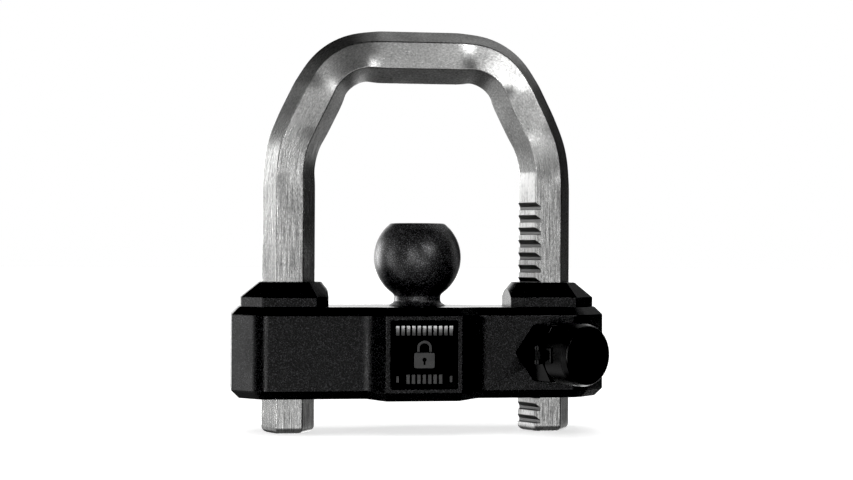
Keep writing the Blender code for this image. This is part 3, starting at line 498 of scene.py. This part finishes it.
def make_shackle():
    """The bent hexagonal bar, with a UV map in metres for the steel's grain, and its notches."""
    path = shackle_path()
    points = [p for p, _ in path]
    bends = [b for _, b in path]
    for _ in range(4):
        bends = [(bends[max(i - 1, 0)] + 2 * bends[i] + bends[min(i + 1, len(bends) - 1)]) / 4
                 for i in range(len(bends))]
    outline = []
    rounded = hexagon(BAR_FLATS, BAR_EDGE, 6)
    for i, point in enumerate(rounded):
        outline.append(point)
        following = rounded[(i + 1) % len(rounded)]
        if (following - point).length > 5 * MM:
            outline += [point.lerp(following, k / 5) for k in range(1, 5)]
    around = [0.0]
    for i in range(len(outline)):
        around.append(around[-1] + (outline[(i + 1) % len(outline)] - outline[i]).length)
    bm = bmesh.new()
    layer = bm.loops.layers.uv.new("grain")
    rings, lengths = [], [0.0]
    for i, point in enumerate(points):
        if i:
            lengths.append(lengths[-1] + (point - points[i - 1]).length)
        along = (points[min(i + 1, len(points) - 1)] - points[max(i - 1, 0)]).normalized()
        across = Vector((along.y, -along.x))
        ring = []
        rise = END_ROUND - min(point.y, END_ROUND)
        shrink = 1 - (END_ROUND - math.sqrt(max(END_ROUND ** 2 - rise ** 2, 0.0))) / (BAR_FLATS / 2)
        for x, y in ((p.x * shrink, p.y * shrink) for p in outline):
            # the inner side of a bend thickens and its outer side thins, so the front flat leans outward
            grown = 1 + INNER_SWELL * bends[i] * x
            place = point + across * x * (1 - OUTER_SWELL * bends[i] * abs(x))
            ring.append(bm.verts.new((place.x, AXIS_Y + y * grown, place.y)))
        rings.append(ring)
    count = len(outline)
    for i in range(len(rings) - 1):
        for k in range(count):
            n = (k + 1) % count
            face = bm.faces.new((rings[i][k], rings[i][n], rings[i + 1][n], rings[i + 1][k]))
            places = ((around[k], lengths[i]), (around[k + 1], lengths[i]),
                      (around[k + 1], lengths[i + 1]), (around[k], lengths[i + 1]))
            for loop, place in zip(face.loops, places):
                loop[layer].uv = place
    for ring in (rings[0], rings[-1]):
        face = bm.faces.new(ring)
        for loop in face.loops:
            loop[layer].uv = (loop.vert.co.x, loop.vert.co.y)
    bar = thing("bar", mesh_from("bar", bm))
    notches = notch_cutter()
    combine(bar, [notches], "DIFFERENCE")
    shackle = baked(bar, "shackle_bar", [notches], 35)
    shackle.data.materials.append(shackle_steel())
    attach(shackle, "shackle")
    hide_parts("shackle")


def notch_cutter():
    """Buttress notches: a flat ledge, an upright floor and a ramp, with rounded roots and mouths."""
    out = 3.0 * MM
    mouth = NOTCH_FLOOR + NOTCH_RAMP + NOTCH_RAMP * out / NOTCH_DEPTH
    sharp = [(-out, 0), (NOTCH_DEPTH, 0), (NOTCH_DEPTH, NOTCH_FLOOR), (-out, mouth)]
    profile = fillet(sharp, [0.01 * MM, 0.5 * MM, 0.5 * MM, 0.01 * MM], 3)
    inner = BAR_FLATS / 2
    on_flat = Vector((LEG_X - inner * math.cos(LOCK_TURN), AXIS_Y - inner * math.sin(LOCK_TURN), 0))
    place = Matrix.Translation(on_flat) @ OUTWARD
    half = 11.25 * MM
    bm = bmesh.new()
    for k in range(NOTCH_COUNT):
        lift = NOTCH_LEDGE + k * NOTCH_PITCH
        ends = [[bm.verts.new((p.x, p.y + lift, z)) for p in profile] for z in (-half, half)]
        count = len(profile)
        bm.faces.new(ends[0])
        bm.faces.new(ends[1])
        for i in range(count):
            j = (i + 1) % count
            bm.faces.new((ends[0][i], ends[0][j], ends[1][j], ends[1][i]))
    return thing("notches", mesh_from("notches", bm), place)


# ------------------------------------------------------------------ body

def body_wing():
    """The body's long form: chamfered all round at the top and the bottom, with the block in its middle."""
    left = [(-BODY_END, -11.5, 3.0), (-BODY_CORNER, -BODY_FRONT, 14.0),
            (-BLOCK_FOOT, -BODY_FRONT, 20.0), (-BLOCK_HALF, -BLOCK_FRONT, 2.0)]
    front = left + [(-x, y, r) for x, y, r in reversed(left)]
    loop = front + [(x, -y, r) for x, y, r in reversed(front)]
    sharp = [(x * MM, y * MM) for x, y, _ in loop]
    radii = [r * MM for _, _, r in loop]
    lid = BODY_CHAMFER + 2.2
    side = fillet([(lid, BODY_BOTTOM), (BODY_CHAMFER, BODY_BOTTOM), (0, BODY_BOTTOM + BODY_CHAMFER),
                   (0, BODY_TOP - BODY_CHAMFER), (BODY_CHAMFER, BODY_TOP), (lid, BODY_TOP)],
                  1.3, 4, closed=False)
    sections = []
    for distance, height in side:
        moved, rounded = inset(sharp, radii, distance * MM, 0.4 * MM)
        drop = max(0.0, min(1.0, (30 - height) / 8)) * BLOCK_DROP * MM
        section = []
        for p in fillet(moved, rounded, 8):
            inside = max(0.0, min(1.0, (BLOCK_FOOT * MM - abs(p.x)) / ((BLOCK_FOOT - BLOCK_HALF) * MM)))
            section.append((p.x, p.y + AXIS_Y, height * MM - drop * inside))
        sections.append(section)
    return thing("wing", loft("wing", sections, strips=True))


def tower(side):
    """A block about a leg. Its roof slopes at the front, the back and the outer end."""
    foot = [(-20.9, -13.5), (-14.4, -20.0), (14.4, -20.0), (25.8, -8.6),
            (25.8, 8.6), (14.4, 20.0), (-14.4, 20.0), (-20.9, 13.5)]
    head = [(-20.9, -8.3), (-14.4, -14.8), (9.8, -14.8), (15.7, -8.2),
            (15.7, 8.2), (9.8, 14.8), (-14.4, 14.8), (-20.9, 8.3)]
    line = fillet([(0, 60.0), (0, TOWER_SHOULDER), (TOWER_SLOPE, TOWER_TOP), (TOWER_SLOPE + 1.6, TOWER_TOP)],
                  1.0, 4, closed=False)
    sections = []
    for reach, height in line:
        share = reach / TOWER_SLOPE
        ring = [(a[0] + (b[0] - a[0]) * share, a[1] + (b[1] - a[1]) * share) for a, b in zip(foot, head)]
        rounded = fillet([Vector(p) * MM for p in ring], 1.4 * MM, 4)
        sections.append([(side * (LEG_X + p.x), p.y + AXIS_Y, height * MM) for p in rounded])
    return thing("tower", loft("tower", sections))


def tower_cone(side):
    """What the round, sloping inner end of a tower's roof leaves out: a ring above a cone about the leg."""
    at_leg = Matrix.Translation((side * LEG_X, AXIS_Y, 0))
    profile = [(24.7, 73.3), (17.6, 81.9), (17.6, 84.0), (40.0, 84.0), (40.0, 73.3)]
    ring = turned("tower_cone", [(r * MM, z * MM) for r, z in profile], at_leg, 128)
    low, high = sorted((-side * 2 * MM, -side * 50 * MM))
    inner = box("inner_half", (low, -50 * MM, 60 * MM), (high, 50 * MM, 90 * MM), at_leg)
    combine(ring, [inner], "INTERSECT")
    return ring, inner


def leg_hole(side):
    """The leg's way through, with a small lead-in at both mouths."""
    sections = []
    for height, flats in ((10, HOLE_MOUTH), (18.6, HOLE_MOUTH), (20.2, HOLE_FLATS),
                          (80.9, HOLE_FLATS), (82.2, HOLE_MOUTH), (95, HOLE_MOUTH)):
        ring = hexagon(flats * MM, 1.2 * MM, 4)
        sections.append([(side * LEG_X + p.x, AXIS_Y + p.y, height * MM) for p in ring])
    return thing("leg_hole", loft("leg_hole", sections))


def badge_hole():
    """A rounded pocket in the block's front whose mouth flares."""
    half_x, half_z = BADGE_HALF_X + 0.3, BADGE_HALF_Z + 0.3
    corners = [(-half_x, -half_z), (half_x, -half_z), (half_x, half_z), (-half_x, half_z)]
    sections = []
    for y, grow in ((-36.0, 0.4), (-31.05, 0.4), (-30.75, 0.12), (-30.4, 0.0), (-28.8, 0.0)):
        sharp = [((x + math.copysign(grow, x)) * MM, (z + math.copysign(grow, z)) * MM) for x, z in corners]
        ring = fillet(sharp, (1.2 + grow) * MM, 5)
        sections.append([(p.x, AXIS_Y + y * MM, p.y + BADGE_MIDDLE * MM) for p in ring])
    return thing("badge_hole", loft("badge_hole", sections))


def make_body(coat):
    wing = body_wing()
    towers = [tower(-1), tower(1)]
    along_x = LOCK @ Matrix.Translation((0, 0, -21.0 * MM)) @ Matrix.Rotation(QUARTER, 4, "Y")
    cutters = [leg_hole(-1), leg_hole(1), badge_hole(),
               rod("shank", 10.3 * MM, 35.4 * MM, 100 * MM, MIDDLE),
               rod("bolt", 6.6 * MM, 10 * MM, 50 * MM, MIDDLE),
               rod("counterbore", 15.0 * MM, 10 * MM, 28.3 * MM, MIDDLE),
               rod("spigot", 12.0 * MM, -5.8 * MM, 40 * MM, LOCK),
               rod("cam", 6.0 * MM, -10.7 * MM, 10 * MM, LOCK),
               box("pocket", (-13.4 * MM, -5.9 * MM, -27.8 * MM), (3 * MM, 5.9 * MM, -9.7 * MM), LOCK),
               rod("spring", 3.5 * MM, -24 * MM, -12.4 * MM, along_x)]
    cones = [tower_cone(-1), tower_cone(1)]
    for block, (cone, _) in zip(towers, cones):
        combine(block, [cone], "DIFFERENCE")
    combine(wing, towers, "UNION")
    combine(wing, cutters, "DIFFERENCE")
    body = baked(wing, "body_casting", [*towers, *cones[0], *cones[1], *cutters], 30)
    body.data.materials.append(coat)
    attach(body, "body")
    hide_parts("lock_body")


# ------------------------------------------------------------------ ball

def make_ball(coat):
    """A ball with a flat top, a neck and a flared foot, on a hollow shank."""
    start = math.acos((BALL_FLAT - BALL_CENTRE) / BALL_RADIUS)
    turns = [start + (math.radians(140) - start) * k / 60 for k in range(61)]
    arc = [Vector((BALL_RADIUS * math.sin(a), BALL_CENTRE + BALL_RADIUS * math.cos(a))) for a in turns]
    top_edge = (BALL_RADIUS * math.sin(start), BALL_FLAT)
    lip = fillet([(0, BALL_FLAT), top_edge, arc[6]], 2.2, 6, closed=False)
    foot = fillet([arc[-1], (NECK_RADIUS, 74.5), (NECK_RADIUS, 70.6), (FLARE_RADIUS - 0.3, 68.95),
                   (FLARE_RADIUS, 68.7), (SHANK_RADIUS, 68.7)],
                  [0, 2.6, 2.2, 0.4, 0.1, 0], 6, closed=False)
    shank = [Vector(p) for p in ((SHANK_RADIUS, SHANK_LOW), (THREAD_RADIUS, SHANK_LOW),
                                 (THREAD_RADIUS, THREAD_TOP), (0, THREAD_TOP))]
    profile = lip + arc[7:-1] + foot + shank
    ball = turned("ball", [(p.x * MM, p.y * MM) for p in profile], MIDDLE, 128)
    ball = baked(ball, "ball_coated", [], 40)
    ball.data.materials.append(coat)
    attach(ball, "body")
    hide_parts("coupler_ball")


# ------------------------------------------------------------------ badge

def raised(bm, outline, low, high, edge):
    """A closed island with a softened front edge, from an outline of (x, z) about the badge's middle."""
    sections = [(low, 0.0), (high - edge, 0.0), (high - edge * 0.3, edge * 0.3), (high, edge)]
    rings = []
    flat = [Vector(p) for p in outline]
    for depth, pull in sections:
        moved, _ = inset(flat, [0] * len(flat), pull, 0)
        y = AXIS_Y + (BADGE_FLOOR - depth) * MM
        rings.append([bm.verts.new((p.x * MM, y, (BADGE_MIDDLE + p.y) * MM)) for p in moved])
    count = len(flat)
    for below, above in zip(rings, rings[1:]):
        for i in range(count):
            j = (i + 1) % count
            bm.faces.new((below[i], below[j], above[j], above[i]))
    bm.faces.new(rings[0])
    bm.faces.new(rings[-1])


def rounded_box(x0, z0, x1, z1, radius):
    return fillet([(x0, z0), (x1, z0), (x1, z1), (x0, z1)], radius, 5)


def arch_outline(outer, inner, bottom, top):
    """An upside-down U: two upright legs joined by a half ring."""
    steps = 16
    turns = [math.pi * k / steps for k in range(steps + 1)]
    points = [Vector((inner, bottom)), Vector((outer, bottom))]
    points += [Vector((outer * math.cos(turn), top + outer * math.sin(turn))) for turn in turns]
    points += [Vector((-outer, bottom)), Vector((-inner, bottom))]
    points += [Vector((-inner * math.cos(turn), top + inner * math.sin(turn))) for turn in turns]
    return points


def make_badge(gloss, mark):
    """The plate, with two rows of plain ribs and a padlock on it."""
    bm = bmesh.new()
    half_x, half_z = BADGE_HALF_X, BADGE_HALF_Z
    raised(bm, rounded_box(-half_x, -half_z, half_x, half_z, 1.2), -0.6, 0.45, 0.3)
    plate = thing("badge_plate_gloss", mesh_from("badge_plate_gloss", bm))
    bm = bmesh.new()
    for count, pitch, low, high in ((11, 2.86, 10.2, 15.4), (7, 2.9, -15.4, -10.4)):
        for k in range(count):
            x = (k - (count - 1) / 2) * pitch
            raised(bm, rounded_box(x - 0.95, low, x + 0.95, high, 0.3), 0.2, 0.95, 0.18)
    for x in (-14.3, 14.3):
        raised(bm, rounded_box(x - 0.7, -14.6, x + 0.7, -11.2, 0.3), 0.2, 0.9, 0.18)
    raised(bm, rounded_box(-5.6, -7.2, 5.6, 1.2, 1.2), 0.2, 1.0, 0.25)
    raised(bm, arch_outline(4.0, 2.5, 1.55, 3.6), 0.2, 0.9, 0.2)
    relief = thing("badge_relief", mesh_from("badge_relief", bm))
    back = AXIS_Y + BADGE_FLOOR * MM
    keyhole = box("keyhole", (-0.55 * MM, AXIS_Y - 40 * MM, (BADGE_MIDDLE - 5.4) * MM),
                  (0.55 * MM, back, (BADGE_MIDDLE - 2.8) * MM))
    eye_at = Matrix.Translation((0, back, (BADGE_MIDDLE - 2.6) * MM)) @ Matrix.Rotation(QUARTER, 4, "X")
    eye = rod("eye", 1.15 * MM, 0, 9.5 * MM, eye_at, 32)
    combine(relief, [keyhole, eye], "DIFFERENCE")
    relief = baked(relief, "badge_relief_pattern", [keyhole, eye], 30)
    plate = baked(plate, "badge_plate_face", [], 30)
    plate.data.materials.append(gloss)
    relief.data.materials.append(mark)
    for piece in (plate, relief):
        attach(piece, "body")
    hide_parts("badge_plate")


# ------------------------------------------------------------------ key lock

def make_housing(black):
    """The hexagonal base against the body's slanting face, the round barrel on it, and the hinge's ears."""
    line = fillet([(0, -12.0), (0, 10.0), (2.5, 10.0)], 0.9, 5, closed=False)
    sections = []
    corner = hexagon(HOUSING_FLATS)
    for pull, height in line:
        moved, rounded = inset(corner, [1.6 * MM] * 6, pull * MM, 0.3 * MM)
        sections.append([(p.x, p.y, height * MM) for p in fillet(moved, rounded, 5)])
    housing = thing("housing", loft("housing", sections), LOCK)
    face = LOCK @ Matrix.Rotation(-LOCK_TURN, 4, "Y")
    body_side = box("body_side", (-40 * MM, -40 * MM, -60 * MM), (40 * MM, 40 * MM, 1.4 * MM), face)
    spigot = rod("spigot", SPIGOT_RADIUS * MM, -5.2 * MM, 8 * MM, LOCK)
    barrel_line = [(0.0, 8.0), (13.0, 8.0), (13.0, 9.6), (12.4, 10.2), (BARREL_RADIUS, 10.8),
                   (BARREL_RADIUS, 21.3), (BARREL_RADIUS - 0.3, 21.7), (0.0, 21.7)]
    barrel = turned("barrel", [(r * MM, z * MM) for r, z in barrel_line], LOCK)
    adds = [spigot, barrel]
    for sign in (-1, 1):
        low, high = sorted((sign * 2.6 * MM, sign * 4.6 * MM))
        adds.append(box("ear_web", (HINGE_X, low, 8.4 * MM), (-13 * MM, high, 9.6 * MM), LOCK))
        adds.append(rod("ear", KNUCKLE_RADIUS, low, high, HINGE_LINE, 32))
    relief = rod("relief", KNUCKLE_RADIUS + 0.45 * MM, -2.6 * MM, 2.6 * MM, HINGE_LINE, 32)
    pin = rod("pin", PIN_HOLE_RADIUS, -10 * MM, 10 * MM, HINGE_LINE, 24)
    bore = rod("bore", CYLINDER_BORE, -20 * MM, 40 * MM, LOCK)
    combine(housing, [body_side], "DIFFERENCE")
    combine(housing, adds, "UNION")
    combine(housing, [relief, pin, bore], "DIFFERENCE")
    housing = baked(housing, "lock_housing_hex", [body_side, *adds, relief, pin, bore], 30)
    housing.data.materials.append(black)
    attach(housing, "body")
    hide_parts("lock_housing")


def make_cap(black):
    """The round cap with a bevelled face and a fine groove, and its hinge's leaf and knuckle."""
    outer = fillet([(0, 29.3), (14.9, 29.3), (15.6, 28.6), (CAP_RADIUS, 25.9), (CAP_RADIUS, 25.5),
                    (16.2, 25.3), (CAP_RADIUS, 25.1), (CAP_RADIUS, 11.9), (15.0, 11.9),
                    (15.0, 26.3), (0, 26.3)],
                   [0, 0.4, 1.2, 0.2, 0.1, 0.1, 0.1, 0.35, 0.3, 0.5, 0], 4, closed=False)
    cap = turned("cap", [(p.x * MM, p.y * MM) for p in outer], LOCK)
    knuckle = rod("knuckle", KNUCKLE_RADIUS, -2.3 * MM, 2.3 * MM, HINGE_LINE, 40)
    web = box("web", (-KNUCKLE_RADIUS, -2.3 * MM, 0.2 * MM), (3.6 * MM, 2.3 * MM, 4.6 * MM), AT_HINGE)
    hole = rod("hole", PIN_HOLE_RADIUS, -10 * MM, 10 * MM, HINGE_LINE, 24)
    leaf = box("leaf", (-17.3 * MM, -4.2 * MM, 13.2 * MM), (-15.3 * MM, 4.2 * MM, 18.6 * MM), LOCK)
    soft = leaf.modifiers.new("soft", "BEVEL")
    soft.width = 0.6 * MM
    soft.segments = 3
    combine(cap, [knuckle, web, leaf], "UNION")
    combine(cap, [hole], "DIFFERENCE")
    cap = baked(cap, "dust_cap_shell", [knuckle, web, leaf, hole], 30)
    cap.data.materials.append(black)
    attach(cap, "cap")
    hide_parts("dust_cap")


# ------------------------------------------------------------------ small CAD parts that stay

def finish_small_parts():
    """Gives the CAD pieces that stay a detailed material in each of their slots."""
    looks = {
        "zinc": machined("zinc_lathe", (0.66, 0.66, 0.67), 0.3, (300, 300, 4000)),
        "brass": machined("brass_lathe", (0.72, 0.53, 0.26), 0.26, (2500, 2500, 300)),
        "hard": machined("steel_ground", (0.40, 0.40, 0.42), 0.34, (400, 3000, 400)),
        "blued": machined("steel_blued", (0.035, 0.035, 0.038), 0.36, (400, 400, 3000)),
        "rubber": satin("rubber_moulded", (0.02, 0.02, 0.02), 0.75, 0.00004, 500),
        "foam": satin("foam_adhesive", (0.09, 0.09, 0.09), 0.9, 0.0002, 1200),
    }
    chosen = {"ball_bolt": "zinc", "ball_washer": "zinc", "badge_adhesive": "foam", "lock_cylinder": "zinc",
              "key_plug": "brass", "plug_cam": "hard", "pawl": "hard", "pawl_spring": "hard",
              "cylinder_clip": "hard", "housing_seal": "rubber", "cap_seal": "rubber",
              "cap_hinge_pin": "blued"}
    for k in range(1, 6):
        chosen[f"wafer_{k}"] = "brass"
    for name, key in chosen.items():
        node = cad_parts[name]
        for slot in node.material_slots:
            slot.material = looks[key]


# ------------------------------------------------------------------ studio

LIGHT_AIM = Vector((0, AXIS_Y, 90 * MM))
ROOM_LEVEL = 0.03
# name, side, left, right, low, high and edge softness in degrees, brightness. A card on side "both" is
# mirrored to the left. The names say what each card stands for.
CARDS = [
    ("front", "one", -12, 18, -35, 4, 6, 0.22),
    ("front_strip", "one", -5, 4, -1.5, 5, 2, 1.5),
    ("front_strip_low", "one", -5, 4, -16, -6.5, 2, 1.1),
    ("front_right_low", "one", 8, 18, -18, -3.5, 1.5, 0.9),
    ("front_right_mid", "one", 9, 18, 2, 5.5, 1, 2.2),
    ("left_fill", "one", -84, -62, -20, 35, 6, 0.25),
    ("floor_glow_left", "one", -150, 20, -24, -5, 3, 0.28),
    ("floor_glow_right", "one", 96, 150, -24, -5, 3, 0.28),
    ("left_wall", "one", -98, -80, -16, 16, 4, 2.6),
    ("left_wall_far", "one", -124, -100, 2.5, 16, 2, 1.5),
    ("left_wall_low", "one", -124, -102, -16, 0, 2, 0.15),
    ("left_high", "one", -108, -90, 22, 38, 4, 1.5),
    ("left_low", "one", -140, -50, -52, -22, 8, 0.5),
    ("rear_left", "one", -148, -128, -8, 15, 4, 8.5),
    ("backdrop", "both", 158, 190, -12, 26, 6, 1.6),
    ("right_high", "one", 92, 178, 26, 66, 6, 0.32),
    ("floor_behind", "one", 150, 195, -42, -18, 5, 2.0),
    ("below", "both", -5, 190, -95, -45, 10, 0.09),
]

CAMERA_AT = (-0.11927, AXIS_Y - 0.89692, 0.09847)
CAMERA_LENS = 69.57                                  # mm, on a sensor 36 mm wide
CAMERA_YAW, CAMERA_PITCH, CAMERA_ROLL = 0.1377, -0.0067, 0.0046
BLACK_LEVEL = 0.007                                  # tones at or under this turn black


def make_camera():
    """Looks level at the front from a little to the left. Yaw turns it right, and pitch turns it down."""
    data = bpy.data.cameras.new("camera")
    data.lens = CAMERA_LENS
    data.sensor_width = 36.0
    data.clip_start = 0.01
    data.clip_end = 20
    camera = bpy.data.objects.new("camera", data)
    bpy.context.scene.collection.objects.link(camera)
    yaw, pitch, roll = CAMERA_YAW, CAMERA_PITCH, CAMERA_ROLL
    ahead = Vector((math.sin(yaw) * math.cos(pitch), math.cos(yaw) * math.cos(pitch), -math.sin(pitch)))
    right = Vector((math.cos(yaw), -math.sin(yaw), 0))
    up = right.cross(ahead)
    x_axis = right * math.cos(roll) + up * math.sin(roll)
    y_axis = up * math.cos(roll) - right * math.sin(roll)
    turn = Matrix((x_axis, y_axis, -ahead)).transposed().to_4x4()
    camera.matrix_world = Matrix.Translation(CAMERA_AT) @ turn
    bpy.context.scene.camera = camera


def softbox(name, azimuth, elevation, distance, width, height, power):
    """An area light aimed at the object. Azimuth is from straight ahead of it, positive to the right."""
    a, e = math.radians(azimuth), math.radians(elevation)
    way = Vector((math.sin(a) * math.cos(e), -math.cos(a) * math.cos(e), math.sin(e)))
    data = bpy.data.lights.new(name, "AREA")
    data.shape = "RECTANGLE"
    data.size = width
    data.size_y = height
    data.energy = power
    made = bpy.data.objects.new(name, data)
    bpy.context.scene.collection.objects.link(made)
    made.location = LIGHT_AIM + way * distance
    made.rotation_mode = "QUATERNION"
    made.rotation_quaternion = way.to_track_quat("Z", "Y")
    made.visible_camera = False


def make_world():
    """White to the camera. To the object, a dark room with pale cards at set azimuths and elevations."""
    world = bpy.data.worlds.new("studio")
    bpy.context.scene.world = world
    world.use_nodes = True
    tree = world.node_tree
    tree.nodes.clear()

    def node(kind, *sources, **values):
        made = tree.nodes.new(kind)
        for key, value in values.items():
            setattr(made, key, value)
        for socket, source in zip(made.inputs, sources):
            if isinstance(source, (int, float)):
                socket.default_value = source
            else:
                tree.links.new(source, socket)
        return made.outputs[0]

    def card(angle, low, high, edge):
        inside = []
        for start, end in ((low - edge, low + edge), (high + edge, high - edge)):
            inside.append(node("ShaderNodeMapRange", angle, start, end, 0.0, 1.0,
                               interpolation_type="SMOOTHSTEP"))
        return node("ShaderNodeMath", *inside, operation="MINIMUM")

    way = tree.nodes.new("ShaderNodeTexCoord").outputs["Generated"]
    split = tree.nodes.new("ShaderNodeSeparateXYZ")
    tree.links.new(way, split.inputs[0])
    x, y, z = split.outputs
    ahead = node("ShaderNodeMath", y, -1.0, operation="MULTIPLY")
    azimuth = node("ShaderNodeMath", node("ShaderNodeMath", x, ahead, operation="ARCTAN2"), 180 / math.pi,
                   operation="MULTIPLY")
    turn_away = node("ShaderNodeMath", azimuth, operation="ABSOLUTE")
    elevation = node("ShaderNodeMath", node("ShaderNodeMath", z, operation="ARCSINE"), 180 / math.pi,
                     operation="MULTIPLY")
    total = ROOM_LEVEL
    for name, side, left, right, low, high, edge, level in CARDS:
        angle = turn_away if side == "both" else azimuth
        spot = node("ShaderNodeMath", card(angle, left, right, edge), card(elevation, low, high, edge),
                    operation="MULTIPLY")
        total = node("ShaderNodeMath", spot, float(level), total, operation="MULTIPLY_ADD")
    room = tree.nodes.new("ShaderNodeBackground")
    tree.links.new(total, room.inputs["Color"])
    white = tree.nodes.new("ShaderNodeBackground")
    white.inputs["Color"].default_value = (1, 1, 1, 1)
    mix = tree.nodes.new("ShaderNodeMixShader")
    tree.links.new(tree.nodes.new("ShaderNodeLightPath").outputs["Is Camera Ray"], mix.inputs["Fac"])
    tree.links.new(room.outputs[0], mix.inputs[1])
    tree.links.new(white.outputs[0], mix.inputs[2])
    out = tree.nodes.new("ShaderNodeOutputWorld")
    tree.links.new(mix.outputs[0], out.inputs["Surface"])


def make_floor():
    """A white floor. Its own light, which falls on nothing else, gives it the soft contact shadow."""
    bm = bmesh.new()
    bmesh.ops.create_grid(bm, x_segments=1, y_segments=1, size=8)
    floor = thing("floor", mesh_from("floor", bm))
    floor.location.z = -0.2 * MM
    look = Look("floor_paper", (0.9, 0.9, 0.9), 0.9)
    look.shader.inputs["Emission Color"].default_value = (1, 1, 1, 1)
    look.shader.inputs["Emission Strength"].default_value = 0.62
    look.shader.inputs["Specular IOR Level"].default_value = 0.0
    floor.data.materials.append(look.material)
    floor.visible_glossy = False
    floor.visible_diffuse = False
    only_floor = bpy.data.collections.new("only_floor")
    only_floor.objects.link(floor)
    sun = bpy.data.lights.new("floor_light", "SUN")
    sun.energy = 1.7
    sun.angle = math.radians(70)
    made = bpy.data.objects.new("floor_light", sun)
    bpy.context.scene.collection.objects.link(made)
    made.rotation_euler = (math.radians(12), math.radians(-10), 0)
    made.light_linking.receiver_collection = only_floor


def make_lights():
    softbox("key", 24, 22, 1.3, 0.28, 0.28, 2.1)
    softbox("left_front", -21, 2, 1.4, 0.12, 0.9, 3.0)


# ------------------------------------------------------------------ scene

scene = bpy.context.scene
scene.view_settings.view_transform = "Standard"
scene.view_settings.use_curve_mapping = True
scene.view_settings.curve_mapping.black_level = (BLACK_LEVEL,) * 3
make_camera()
make_world()
make_floor()
make_lights()
coat_black = (0.0045, 0.0045, 0.0047)
coat = powder_coat("powder_coat_textured", coat_black, 0.24, 2000, 0.00004, gloss=0.3, sparkle=17)
ball_coat = powder_coat("powder_coat_ball", coat_black, 0.36, 1900, 0.00004, gloss=1.0, sparkle=80)
black = satin("housing_satin", (0.0025, 0.0025, 0.0026), 0.26, gloss=0.35)
gloss = satin("badge_gloss", (0.002, 0.002, 0.0022), 0.14, 0.000004, 400, gloss=0.1)
mark = badge_relief_painted_highlight()
make_shackle()
make_body(coat)
make_ball(ball_coat)
make_badge(gloss, mark)
make_housing(black)
make_cap(black)
finish_small_parts()
